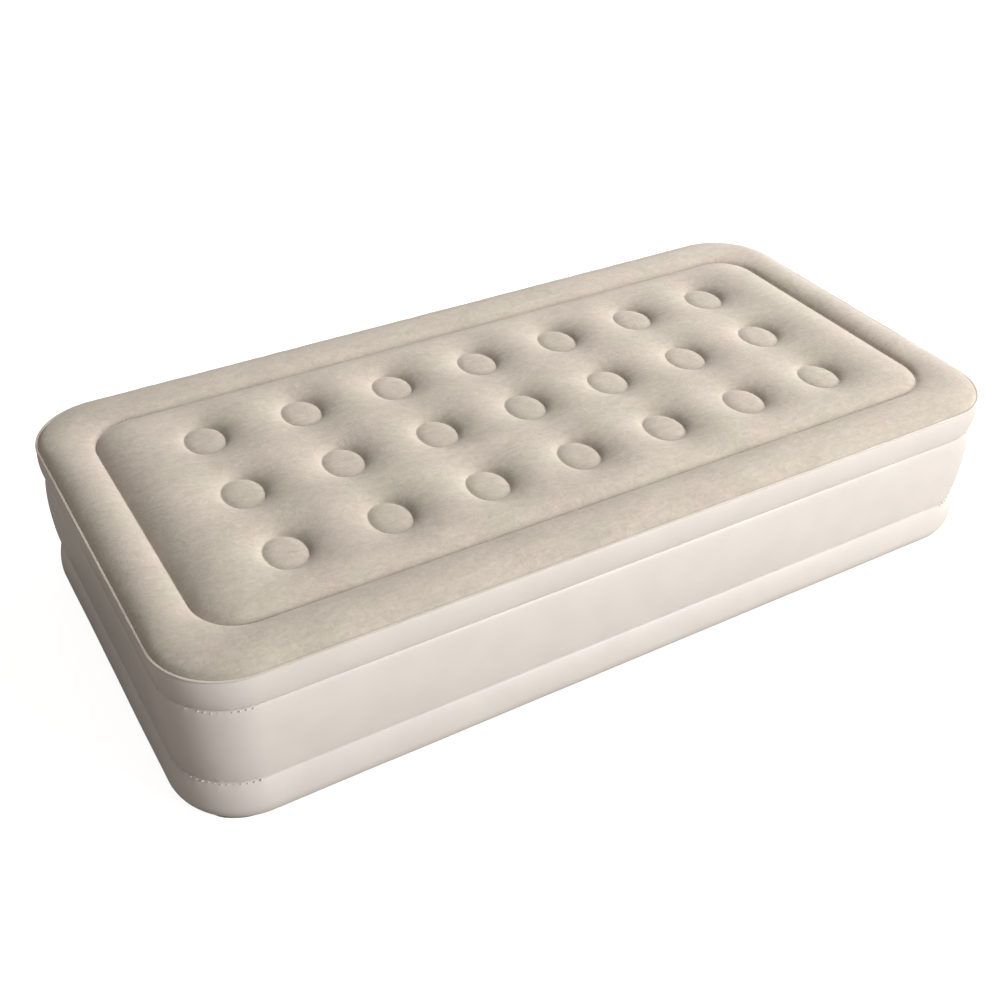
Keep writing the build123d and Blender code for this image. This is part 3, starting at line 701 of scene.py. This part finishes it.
def make_sides():
    """The three bands of the wall, which meet at the two grooves."""
    upper_groove, lower_groove = (GROOVE_OUT, UPPER_GROOVE_Z), (LOWER_GROOVE_OUT, LOWER_GROOVE_Z)
    upper = side_skin(
        "upper_side_skin",
        bow(upper_groove, (0.0, SEAM_Z), rise=0.0075, steps=14, crowd=0.7),
        [(UPPER_GROOVE_Z, 0.0022)],
    )
    middle = side_skin(
        "middle_side_skin",
        bow(lower_groove, upper_groove, rise=0.010, steps=22, lean=0.3, crowd=0.7),
        [(UPPER_GROOVE_Z, 0.002), (LOWER_GROOVE_Z, 0.002)],
    )
    lower = side_skin(
        "lower_side_skin",
        foot_profile(lower_groove, belly_out=0.006, belly_z=0.052, foot_in=0.040, steps=12),
        [(LOWER_GROOVE_Z, 0.0026)],
    )
    return upper, middle, lower


def cut_pump_opening(piece):
    """Open the middle band where the pump's collar is welded in."""
    behind, in_front = 0.03, 0.05
    low = Vector((collar_low.x - behind, collar_low.y, collar_low.z))
    high = Vector((collar_high.x + in_front, collar_high.y, collar_high.z))
    cutter_mesh = bpy.data.meshes.new("opening_cutter")
    tool = bmesh.new()
    bmesh.ops.create_cube(tool, size=1.0)
    for vertex in tool.verts:
        vertex.co = Vector((low[i] + (high[i] - low[i]) * (vertex.co[i] + 0.5) for i in range(3)))
    long_edges = [e for e in tool.edges if abs((e.verts[0].co - e.verts[1].co).x) > behind]
    bmesh.ops.bevel(
        tool,
        geom=long_edges,
        offset=PUMP_CORNER_R,
        offset_type="OFFSET",
        segments=8,
        profile=0.5,
        affect="EDGES",
    )
    tool.to_mesh(cutter_mesh)
    tool.free()
    cutter = bpy.data.objects.new("opening_cutter", cutter_mesh)
    bpy.context.scene.collection.objects.link(cutter)
    cut = piece.modifiers.new("opening", "BOOLEAN")
    cut.operation = "DIFFERENCE"
    cut.solver = "EXACT"
    cut.object = cutter
    apply_modifiers(piece)
    piece.data.set_sharp_from_angle(angle=math.radians(40))
    bpy.data.objects.remove(cutter)


# ---------------------------------------------------------------- seam lip and base
def sweep_section(name, section, material, ripple):
    """A closed section of (outward, height) points carried round the seam line, rippling more further out."""
    full_ripple_out = 0.008
    points = []
    for out, z in section:
        for (x, y), (nx, ny) in zip(side_points, side_normals):
            slow = wander(x, y, 0.0, scale=22.0, seed=5.3)
            quick = wander(x, y, 0.0, scale=60.0, seed=1.3)
            lift = ripple * slow + 0.6 * ripple * quick
            share = max(0.0, min(1.0, out / full_ripple_out))
            side = 0.5 * ripple * wander(x, y, 0.0, scale=30.0, seed=7.7)
            points.append((x + nx * (out + side * share), y + ny * (out + side * share), z + lift * share))
    count = len(side_points)
    faces = band_faces(count, len(section))
    last = (len(section) - 1) * count
    for k in range(count):
        m = (k + 1) % count
        faces.append((last + k, last + m, m, k))
    return finish_mesh(name, points, faces, material)


def make_seam_lip():
    """The welded edge: a thin doubled lip that stands out and a little up from the seam."""
    reach, thick, tilt = 0.0046, 0.0026, 0.0002
    neck_out, root_out = 0.001, -0.002
    neck_lift, root_drop = 0.0006, 0.0005
    round_steps = 8
    section = []
    for step in range(round_steps + 1):
        angle = -math.pi / 2 + math.pi * step / round_steps
        out = reach - thick / 2 + math.cos(angle) * thick / 2
        section.append((out, SEAM_Z + tilt + math.sin(angle) * thick / 2))
    section.append((neck_out, SEAM_Z + thick / 2 + neck_lift))
    section.append((root_out, SEAM_Z + thick / 2 - root_drop))
    section.append((root_out, SEAM_Z - thick / 2 - root_drop))
    section.append((neck_out, SEAM_Z - thick / 2))
    return sweep_section("seam_lip", section, SEAM_VINYL, ripple=0.0016)


BASE_Z = 0.0010


def make_base():
    """The bottom sheet: flat, with an unevenly trimmed edge."""
    along, across = 160, 84
    loops = [0.0, 0.02, 0.05, 0.12, 0.25, 0.4]
    foot = 0.0255
    corner_trim, edge_wave, edge_lift = 0.009, 0.0035, 0.0012
    outline, normals = rounded_loop(SEAM_X - foot, SEAM_Y - foot, CORNER_R - foot, along, across)
    points, faces = [], []
    for inset in loops:
        edge = inset == 0
        for (x, y), (nx, ny) in zip(outline, normals):
            sx = 1 - inset / (SEAM_X - foot)
            sy = 1 - inset / (SEAM_Y - foot)
            trim = 0.0
            if edge:
                wave = wander(x, y, 0.0, scale=38.0, seed=2.2)
                trim = corner_trim * corner_share(x, y) + edge_wave * wave
            points.append((x * sx + nx * trim, y * sy + ny * trim, BASE_Z + (edge_lift if edge else 0.0)))
    count = len(outline)
    for ring in range(len(loops) - 1):
        for k in range(count):
            a, b = ring * count + k, ring * count + (k + 1) % count
            faces.append((a + count, b + count, b, a))
    last = (len(loops) - 1) * count
    faces.append(tuple(last + k for k in reversed(range(count))))
    piece = finish_mesh("base_skin", points, faces, BASE_VINYL)
    thicken(piece)
    return piece


# ---------------------------------------------------------------- repeated and path-following details
INT = "NodeSocketInt"
VECTOR = "NodeSocketVector"
PLACING = [("Place", VECTOR, None), ("Turn", VECTOR, None), ("Material", "NodeSocketMaterial", None)]


def shape_tree(name, inputs):
    """A geometry tree with its size inputs and the inputs that place and finish its result."""
    return new_group(name, inputs + PLACING, [("Geometry", "NodeSocketGeometry")], "GeometryNodeTree")


def shape_node(tree, kind, sockets, **properties):
    """A geometry node; sockets are named or numbered, and each takes another node's output or a value."""
    node = tree.nodes.new("GeometryNode" + kind)
    for name, value in properties.items():
        setattr(node, name, value)
    for key, value in sockets.items():
        feed(tree, node.inputs[key], value)
    return node


def xyz(tree, x=0.0, y=0.0, z=0.0):
    """A vector from three values or outputs."""
    node = tree.nodes.new("ShaderNodeCombineXYZ")
    for socket, value in zip(node.inputs, (x, y, z)):
        feed(tree, socket, value)
    return node.outputs["Vector"]


def close_tree(tree, given, result, geometry):
    """Make the instances real, place the result and give it its material."""
    real = shape_node(tree, "RealizeInstances", {"Geometry": geometry})
    moved = shape_node(
        tree,
        "Transform",
        {
            "Geometry": real.outputs["Geometry"],
            "Translation": given.outputs["Place"],
            "Rotation": given.outputs["Turn"],
        },
    )
    finished = shape_node(
        tree, "SetMaterial", {"Geometry": moved.outputs["Geometry"], "Material": given.outputs["Material"]}
    )
    tree.links.new(finished.outputs["Geometry"], result.inputs["Geometry"])


def fillet(tree, curve, radius, steps):
    """A curve with its corners rounded in a number of steps."""
    sockets = {"Curve": curve, "Radius": radius, "Count": steps, "Limit Radius": True}
    return shape_node(tree, "FilletCurve", sockets, mode="POLY").outputs["Curve"]


def scatter_on(tree, spots, instance, **extra):
    """Copies of a shape on points; extra names more of the node's inputs."""
    sockets = {"Points": spots, "Instance": instance}
    sockets.update({name.title(): value for name, value in extra.items()})
    return shape_node(tree, "InstanceOnPoints", sockets).outputs["Instances"]


def grid_spots(tree, out):
    """Points on a grid of columns and rows."""
    sizes = {"Size X": out["Across"], "Size Y": out["Up"]}
    sizes.update({"Vertices X": out["Columns"], "Vertices Y": out["Rows"]})
    return shape_node(tree, "MeshGrid", sizes).outputs["Mesh"]


def rounded_bar(tree, width, height, radius, length):
    """A bar with rounded edges along x: a rounded rectangle swept along a short line, with closed ends."""
    outline = shape_node(tree, "CurvePrimitiveQuadrilateral", {"Width": width, "Height": height})
    eased = fillet(tree, outline.outputs["Curve"], radius, 3)
    half = maths(tree, "MULTIPLY", length, 0.5)
    start = xyz(tree, maths(tree, "MULTIPLY", half, -1.0))
    line = shape_node(tree, "CurvePrimitiveLine", {"Start": start, "End": xyz(tree, half)})
    bar = shape_node(
        tree,
        "CurveToMesh",
        {"Curve": line.outputs["Curve"], "Profile Curve": eased, "Fill Caps": True},
    )
    return bar.outputs["Mesh"]


def bar_row_tree():
    """A row of equal rounded bars along x, stepped along y: slats, ribs and ridges."""
    tree, given, result = shape_tree(
        "bar_row",
        [
            ("Count", INT, 6),
            ("Step", FLOAT, 0.006),
            ("Bar Length", FLOAT, 0.04),
            ("Bar Width", FLOAT, 0.002),
            ("Bar Height", FLOAT, 0.002),
            ("Edge Radius", FLOAT, 0.0005),
            ("Lean", FLOAT, 0.0),
        ],
    )
    out = given.outputs
    bar = rounded_bar(tree, out["Bar Width"], out["Bar Height"], out["Edge Radius"], out["Bar Length"])
    span = maths(tree, "MULTIPLY", out["Step"], maths(tree, "SUBTRACT", out["Count"], 1.0))
    start = xyz(tree, 0.0, maths(tree, "MULTIPLY", span, -0.5))
    offset = xyz(tree, 0.0, out["Step"])
    spots = shape_node(tree, "MeshLine", {"Count": out["Count"], "Start Location": start, "Offset": offset})
    placed = scatter_on(tree, spots.outputs["Mesh"], bar, rotation=xyz(tree, out["Lean"]))
    close_tree(tree, given, result, placed)
    return tree


def ray_ring_tree():
    """Rounded bars pointing outward on a ring or part of one: grip ribs and dial marks."""
    tree, given, result = shape_tree(
        "ray_ring",
        [
            ("Count", INT, 24),
            ("Ring Radius", FLOAT, 0.02),
            ("Start Angle", FLOAT, 0.0),
            ("Sweep", FLOAT, math.tau),
            ("Bar Length", FLOAT, 0.004),
            ("Bar Width", FLOAT, 0.001),
            ("Bar Height", FLOAT, 0.001),
            ("Edge Radius", FLOAT, 0.0003),
        ],
    )
    out = given.outputs
    bar = rounded_bar(tree, out["Bar Width"], out["Bar Height"], out["Edge Radius"], out["Bar Length"])
    spots = shape_node(tree, "MeshLine", {"Count": out["Count"], "Offset": (0.0, 0.0, 0.0)})
    step = maths(tree, "DIVIDE", out["Sweep"], out["Count"])
    number = shape_node(tree, "InputIndex", {})
    angle = maths(tree, "ADD", out["Start Angle"], maths(tree, "MULTIPLY", number.outputs["Index"], step))
    ring_x = maths(tree, "MULTIPLY", out["Ring Radius"], maths(tree, "COSINE", angle))
    ring_y = maths(tree, "MULTIPLY", out["Ring Radius"], maths(tree, "SINE", angle))
    ring = shape_node(
        tree, "SetPosition", {"Geometry": spots.outputs["Mesh"], "Position": xyz(tree, ring_x, ring_y)}
    )
    placed = scatter_on(tree, ring.outputs["Geometry"], bar, rotation=xyz(tree, 0.0, 0.0, angle))
    close_tree(tree, given, result, placed)
    return tree


def screw_grid_tree():
    """Pan-head screws with a cross recess on a grid of holes."""
    tree, given, result = shape_tree(
        "screw_grid",
        [
            ("Columns", INT, 2),
            ("Rows", INT, 2),
            ("Across", FLOAT, 0.2),
            ("Up", FLOAT, 0.1),
            ("Head Radius", FLOAT, 0.003),
            ("Head Height", FLOAT, 0.0018),
            ("Recess Width", FLOAT, 0.0009),
            ("Twist", FLOAT, 0.7),
        ],
    )
    out = given.outputs
    drum = shape_node(
        tree,
        "MeshCylinder",
        {
            "Vertices": 28,
            "Side Segments": 1,
            "Fill Segments": 1,
            "Radius": out["Head Radius"],
            "Depth": maths(tree, "MULTIPLY", out["Head Height"], 2.0),
        },
    )
    dome = shape_node(tree, "MeshUVSphere", {"Segments": 28, "Rings": 16, "Radius": out["Head Radius"]})
    squat = maths(tree, "DIVIDE", out["Head Height"], out["Head Radius"])
    wide, tall = 1.08, 1.15
    stretch = xyz(tree, wide, wide, maths(tree, "MULTIPLY", squat, tall))
    flat_dome = shape_node(tree, "Transform", {"Geometry": dome.outputs["Mesh"], "Scale": stretch})
    head = shape_node(
        tree, "MeshBoolean", {"Mesh 2": drum.outputs["Mesh"]}, operation="INTERSECT", solver="EXACT"
    )
    tree.links.new(flat_dome.outputs["Geometry"], head.inputs["Mesh 2"])
    long_side = maths(tree, "MULTIPLY", out["Head Radius"], 1.15)
    cross = []
    for blade_x, blade_y in ((long_side, out["Recess Width"]), (out["Recess Width"], long_side)):
        blade = shape_node(tree, "MeshCube", {"Size": xyz(tree, blade_x, blade_y, out["Head Height"])})
        lift = xyz(tree, 0.0, 0.0, out["Head Height"])
        raised = shape_node(tree, "Transform", {"Geometry": blade.outputs["Mesh"], "Translation": lift})
        cross.append(raised.outputs["Geometry"])
    cut = shape_node(
        tree,
        "MeshBoolean",
        {"Mesh 1": head.outputs["Mesh"], "Mesh 2": cross[0]},
        operation="DIFFERENCE",
        solver="EXACT",
    )
    tree.links.new(cross[1], cut.inputs["Mesh 2"])
    number = shape_node(tree, "InputIndex", {})
    twist = maths(tree, "MULTIPLY", number.outputs["Index"], out["Twist"])
    placed = scatter_on(tree, grid_spots(tree, out), cut.outputs["Mesh"], rotation=xyz(tree, 0.0, 0.0, twist))
    close_tree(tree, given, result, placed)
    return tree


LOOP_SIZES = [
    ("Half Long", FLOAT, 0.9),
    ("Half Short", FLOAT, 0.4),
    ("Corner Radius", FLOAT, 0.1),
    ("Ripple", FLOAT, 0.0005),
]


def rippled_loop(tree, out, step):
    """A rounded rectangle lying flat, stepped evenly and rippled up and down."""
    path = shape_node(
        tree,
        "CurvePrimitiveQuadrilateral",
        {
            "Width": maths(tree, "MULTIPLY", out["Half Long"], 2.0),
            "Height": maths(tree, "MULTIPLY", out["Half Short"], 2.0),
        },
    )
    turned = fillet(tree, path.outputs["Curve"], out["Corner Radius"], 20)
    stepped = shape_node(tree, "ResampleCurve", {"Curve": turned, "Length": step}, mode="LENGTH")
    flutter = tree.nodes.new("ShaderNodeTexNoise")
    flutter.inputs["Scale"].default_value = 45.0
    height = maths(tree, "MULTIPLY", maths(tree, "SUBTRACT", flutter.outputs["Fac"], 0.5), out["Ripple"])
    waved = shape_node(
        tree, "SetPosition", {"Geometry": stepped.outputs["Curve"], "Offset": xyz(tree, 0.0, 0.0, height)}
    )
    return waved.outputs["Geometry"]


def weld_bead_tree():
    """A thin welded strip along a rounded rectangle."""
    sizes = LOOP_SIZES + [("Strip Width", FLOAT, 0.003), ("Strip Height", FLOAT, 0.001)]
    tree, given, result = shape_tree("weld_bead", sizes)
    out = given.outputs
    profile = shape_node(
        tree, "CurvePrimitiveQuadrilateral", {"Width": out["Strip Width"], "Height": out["Strip Height"]}
    )
    edge_radius = maths(tree, "MULTIPLY", out["Strip Height"], 0.45)
    soft_profile = fillet(tree, profile.outputs["Curve"], edge_radius, 2)
    path = rippled_loop(tree, out, 0.006)
    strip = shape_node(tree, "CurveToMesh", {"Curve": path, "Profile Curve": soft_profile})
    close_tree(tree, given, result, strip.outputs["Mesh"])
    return tree


def gather_tree():
    """Small gathered nubs of uneven size along the corners of a rounded rectangle."""
    sizes = LOOP_SIZES + [
        ("Nub Radius", FLOAT, 0.001),
        ("Nub Step", FLOAT, 0.01),
        ("Nub Zone", FLOAT, 0.1),
        ("Nub Squash", FLOAT, 0.6),
        ("Seed", INT, 11),
    ]
    tree, given, result = shape_tree("gathered_nubs", sizes)
    out = given.outputs
    nub = shape_node(tree, "MeshIcoSphere", {"Radius": out["Nub Radius"], "Subdivisions": 2})
    here = tree.nodes.new("ShaderNodeSeparateXYZ")
    tree.links.new(shape_node(tree, "InputPosition", {}).outputs["Position"], here.inputs["Vector"])
    keep = 1.0
    for axis, half in (("X", "Half Long"), ("Y", "Half Short")):
        reach = maths(tree, "SUBTRACT", out[half], out["Nub Zone"])
        near = maths(tree, "GREATER_THAN", maths(tree, "ABSOLUTE", here.outputs[axis]), reach)
        keep = maths(tree, "MULTIPLY", near, keep)
    size = tree.nodes.new("FunctionNodeRandomValue")
    size.data_type = "FLOAT"
    least, most = size.inputs[2], size.inputs[3]
    least.default_value = 0.25
    most.default_value = 1.1
    tree.links.new(out["Seed"], size.inputs["Seed"])
    across = size.outputs[1]
    squashed = xyz(tree, across, across, maths(tree, "MULTIPLY", across, out["Nub Squash"]))
    path = rippled_loop(tree, out, out["Nub Step"])
    placed = scatter_on(tree, path, nub.outputs["Mesh"], selection=keep, scale=squashed)
    close_tree(tree, given, result, placed)
    return tree


def weld_ring_grid_tree():
    """Round welds on a grid, each a low ring: the prints of the coils on the bottom sheet."""
    tree, given, result = shape_tree(
        "weld_ring_grid",
        [
            ("Columns", INT, 7),
            ("Rows", INT, 3),
            ("Across", FLOAT, 1.2),
            ("Up", FLOAT, 0.4),
            ("Ring Radius", FLOAT, 0.046),
            ("Bead Radius", FLOAT, 0.001),
        ],
    )
    out = given.outputs
    loops = []
    for steps, radius in ((64, out["Ring Radius"]), (8, out["Bead Radius"])):
        sizes = {"Resolution": steps, "Radius": radius}
        circle = shape_node(tree, "CurvePrimitiveCircle", sizes, mode="RADIUS")
        loops.append(circle.outputs["Curve"])
    ring = shape_node(tree, "CurveToMesh", {"Curve": loops[0], "Profile Curve": loops[1]})
    placed = scatter_on(tree, grid_spots(tree, out), ring.outputs["Mesh"])
    close_tree(tree, given, result, placed)
    return tree


BAR_ROW = bar_row_tree()
RAY_RING = ray_ring_tree()
SCREW_GRID = screw_grid_tree()
WELD_BEAD = weld_bead_tree()
GATHERS = gather_tree()
WELD_RING_GRID = weld_ring_grid_tree()
FACE_X = (0.0, math.radians(90), 0.0)
FACE_X_UPRIGHT = (math.radians(90), 0.0, math.radians(90))


def grow(name, tree, body, slot, **values):
    """A plain mesh piece grown by a tree with these sizes, riding on a body and finished as a slot."""
    piece = bpy.data.objects.new(name, bpy.data.meshes.new(name))
    bpy.context.scene.collection.objects.link(piece)
    modifier = piece.modifiers.new("shape", "NODES")
    modifier.node_group = tree
    values["material"] = SLOT_MATERIALS[slot]
    for socket in tree.interface.items_tree:
        key = socket.name.replace(" ", "_").lower()
        if socket.in_out == "INPUT" and key in values:
            modifier[socket.identifier] = values.pop(key)
    if values:
        raise ValueError(f"{name} has no input for {sorted(values)}")
    apply_modifiers(piece)
    skin = bmesh.new()
    skin.from_mesh(piece.data)
    bmesh.ops.recalc_face_normals(skin, faces=skin.faces)
    skin.to_mesh(piece.data)
    skin.free()
    piece.data.shade_smooth()
    piece.data.set_sharp_from_angle(angle=math.radians(38))
    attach(piece, body)
    return piece


def make_pump_details():
    """Everything small on the pump's face: knob ribs, dial marks, slats, lid ridges, screws and weld rim."""
    _, plate_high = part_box("face_plate")
    knob_low, knob_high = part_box("mode_knob")
    grille_low, grille_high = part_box("intake_grille")
    lid_low, lid_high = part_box("cord_lid")
    screws_low, screws_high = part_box("face_screws")
    knob = (knob_low + knob_high) / 2
    knob_r = (knob_high.y - knob_low.y) / 2
    grow(
        "knob_grip_ribs",
        RAY_RING,
        "knob",
        "face_plastic",
        count=36,
        ring_radius=knob_r - 0.0002,
        bar_length=0.0016,
        bar_width=0.0020,
        bar_height=knob_high.x - knob_low.x - 0.005,
        edge_radius=0.0006,
        place=(knob_low.x + 0.0055, knob.y, knob.z),
        turn=FACE_X,
    )
    grow(
        "dial_marks",
        RAY_RING,
        "bed",
        "dark_plastic",
        count=9,
        ring_radius=knob_r + 0.0052,
        start_angle=math.radians(90),
        sweep=math.radians(202.5),
        bar_length=0.0042,
        bar_width=0.0011,
        bar_height=0.0006,
        edge_radius=0.0002,
        place=(plate_high.x, knob.y, knob.z),
        turn=FACE_X,
    )
    grille = (grille_low + grille_high) / 2
    grow(
        "grille_slats",
        BAR_ROW,
        "bed",
        "dark_plastic",
        count=12,
        step=0.0031,
        bar_length=grille_high.y - grille_low.y - 0.007,
        bar_width=0.0022,
        bar_height=0.0011,
        edge_radius=0.0004,
        lean=math.radians(32),
        place=(grille_high.x - 0.0006, grille.y, grille.z),
        turn=FACE_X_UPRIGHT,
    )
    lid = (lid_low + lid_high) / 2
    grow(
        "lid_grip_ridges",
        BAR_ROW,
        "lid",
        "face_plastic",
        count=5,
        step=0.0032,
        bar_length=0.030,
        bar_width=0.0012,
        bar_height=0.0010,
        edge_radius=0.0004,
        place=(plate_high.x + 0.0002, lid.y, lid_high.z - 0.020),
        turn=FACE_X_UPRIGHT,
    )
    screws = (screws_low + screws_high) / 2
    screw_r = 0.0030
    across = screws_high.y - screws_low.y - 2 * screw_r
    up = screws_high.z - screws_low.z - 2 * screw_r
    heads = grow(
        "face_screw_heads",
        SCREW_GRID,
        "bed",
        "bright_steel",
        across=up,
        up=across,
        head_radius=screw_r,
        head_height=screws_high.x - plate_high.x,
        place=(plate_high.x, screws.y, screws.z),
        turn=FACE_X,
    )
    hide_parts("face_screws")
    collar = (collar_low + collar_high) / 2
    rim = 0.0030
    grow(
        "pump_weld_rim",
        WELD_BEAD,
        "bed",
        "side_vinyl",
        half_long=(collar_high.z - collar_low.z) / 2 - rim / 2,
        half_short=(collar_high.y - collar_low.y) / 2 - rim / 2,
        corner_radius=PUMP_CORNER_R - rim / 2,
        strip_width=rim,
        strip_height=0.0020,
        ripple=0.0012,
        place=(collar_high.x, collar.y, collar.z),
        turn=FACE_X,
    )


def make_welds():
    """The welded lines in both wall grooves, and the coils' prints under the bed."""
    for name, out, z, nub_radius in (
        ("upper_groove", GROOVE_OUT, UPPER_GROOVE_Z, 0.0023),
        ("lower_groove", LOWER_GROOVE_OUT, LOWER_GROOVE_Z, 0.0030),
    ):
        grow(
            name + "_weld",
            WELD_BEAD,
            "bed",
            "side_vinyl",
            half_long=SEAM_X + out,
            half_short=SEAM_Y + out,
            corner_radius=CORNER_R + out,
            strip_width=0.0030,
            strip_height=0.0016,
            ripple=0.0014,
            place=(0.0, 0.0, z),
        )
        stand = out + 0.0024
        grow(
            name + "_gathers",
            GATHERS,
            "bed",
            "side_vinyl",
            half_long=SEAM_X + stand,
            half_short=SEAM_Y + stand,
            corner_radius=CORNER_R + stand,
            ripple=0.0050,
            nub_radius=nub_radius,
            nub_step=0.0118,
            nub_zone=CORNER_R * 0.9,
            seed=round(z * 1000),
            place=(0.0, 0.0, z - 0.0030),
        )
    grow(
        "base_weld_rings",
        WELD_RING_GRID,
        "bed",
        "base_vinyl",
        columns=len(columns),
        rows=len(rows),
        across=columns[-1] - columns[0],
        up=rows[-1] - rows[0],
        ring_radius=DISC_R,
        bead_radius=0.0011,
        place=((columns[0] + columns[-1]) / 2, (rows[0] + rows[-1]) / 2, 0.0012),
    )


# ---------------------------------------------------------------- put it together
flocked_top = make_top()
upper_skin, middle_skin, lower_skin = make_sides()
cut_pump_opening(middle_skin)
seam_lip = make_seam_lip()
base_skin = make_base()

for piece, node, slot in (
    (flocked_top, "top_sheet", "flocked_top"),
    (upper_skin, "upper_side_band", "side_vinyl"),
    (middle_skin, "middle_side_band", "side_vinyl"),
    (lower_skin, "lower_side_band", "side_vinyl"),
    (seam_lip, "top_seam_flange", "seam_vinyl"),
    (base_skin, "bottom_sheet", "base_vinyl"),
):
    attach(piece, "bed")
    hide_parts(node)
make_pump_details()
make_welds()


# ---------------------------------------------------------------- floor, light and camera
CAMERA_PLACE = Vector((-1.2681, -1.9950, 1.8547))
CAMERA_HEADING = math.radians(31.23)
CAMERA_DROP = math.radians(36.36)
CAMERA_ROLL = math.radians(1.153)
LENS = 46.72


def add_camera():
    """The camera at its place, heading, drop and roll."""
    forward = Vector(
        (
            math.sin(CAMERA_HEADING) * math.cos(CAMERA_DROP),
            math.cos(CAMERA_HEADING) * math.cos(CAMERA_DROP),
            -math.sin(CAMERA_DROP),
        )
    )
    level = forward.cross(Vector((0, 0, 1))).normalized()
    upright = level.cross(forward)
    right = level * math.cos(CAMERA_ROLL) + upright * math.sin(CAMERA_ROLL)
    up = right.cross(forward)
    data = bpy.data.cameras.new("camera")
    data.lens = LENS
    data.sensor_width = 36.0
    data.clip_end = 100.0
    camera = bpy.data.objects.new("camera", data)
    turn = Matrix((right, up, -forward)).transposed()
    camera.matrix_world = Matrix.Translation(CAMERA_PLACE) @ turn.to_4x4()
    bpy.context.scene.collection.objects.link(camera)
    bpy.context.scene.camera = camera


def add_area_light(name, place, size, power, colour):
    """A round soft light, aimed at the bed."""
    data = bpy.data.lights.new(name, "AREA")
    data.shape = "DISK"
    data.size = size
    data.energy = power
    data.color = colour
    light = bpy.data.objects.new(name, data)
    light.location = place
    light.rotation_euler = (LIGHT_AIM - Vector(place)).to_track_quat("-Z", "Y").to_euler()
    bpy.context.scene.collection.objects.link(light)


LIGHT_AIM = Vector((0, 0, 0.25))
FLOOR_HALF = 30
FLOOR_DROP = 0.0005
FLOOR_SHADE = (0.32, 0.295, 0.26, 1)
FLOOR_SEEN = (0.45, 0.45, 0.45, 1)
FLOOR_GLOW = 0.88
SKY_LIGHT = 0.33


def add_stage():
    """The floor, the sky and the two lights; the floor and sky look paler to the camera than they shine."""
    material, shader = new_material("pale_floor")
    tree = material.node_tree
    shader.inputs["Roughness"].default_value = 0.9
    path = add_node(tree, "ShaderNodeLightPath")
    seen = path.outputs["Is Camera Ray"]
    tree.links.new(mix_colour(tree, seen, FLOOR_SHADE, FLOOR_SEEN), shader.inputs["Base Color"])
    tree.links.new(maths(tree, "MULTIPLY", seen, FLOOR_GLOW), shader.inputs["Emission Strength"])
    shader.inputs["Emission Color"].default_value = (1, 1, 1, 1)
    corners = [(x * FLOOR_HALF, y * FLOOR_HALF, 0) for x, y in ((-1, -1), (1, -1), (1, 1), (-1, 1))]
    floor = finish_mesh("floor", corners, [(0, 1, 2, 3)], material, smooth=False)
    floor.location.z = -FLOOR_DROP
    world = bpy.data.worlds.new("studio")
    world.use_nodes = True
    sky = world.node_tree.nodes["Background"]
    sky.inputs["Color"].default_value = (1.0, 0.95, 0.895, 1)
    seen = add_node(world.node_tree, "ShaderNodeLightPath").outputs["Is Camera Ray"]
    strength = remap(world.node_tree, seen, 0.0, 1.0, SKY_LIGHT, 1.0)
    world.node_tree.links.new(strength, sky.inputs["Strength"])
    bpy.context.scene.world = world
    add_area_light("key_light", (7.9, 2.1, 5.7), size=3.0, power=930, colour=(1.0, 0.992, 0.985))
    add_area_light("fill_light", (3.6, -6.6, 2.9), size=3.8, power=600, colour=(1.0, 0.995, 0.99))
    bpy.context.scene.view_settings.view_transform = "Standard"


add_camera()
add_stage()
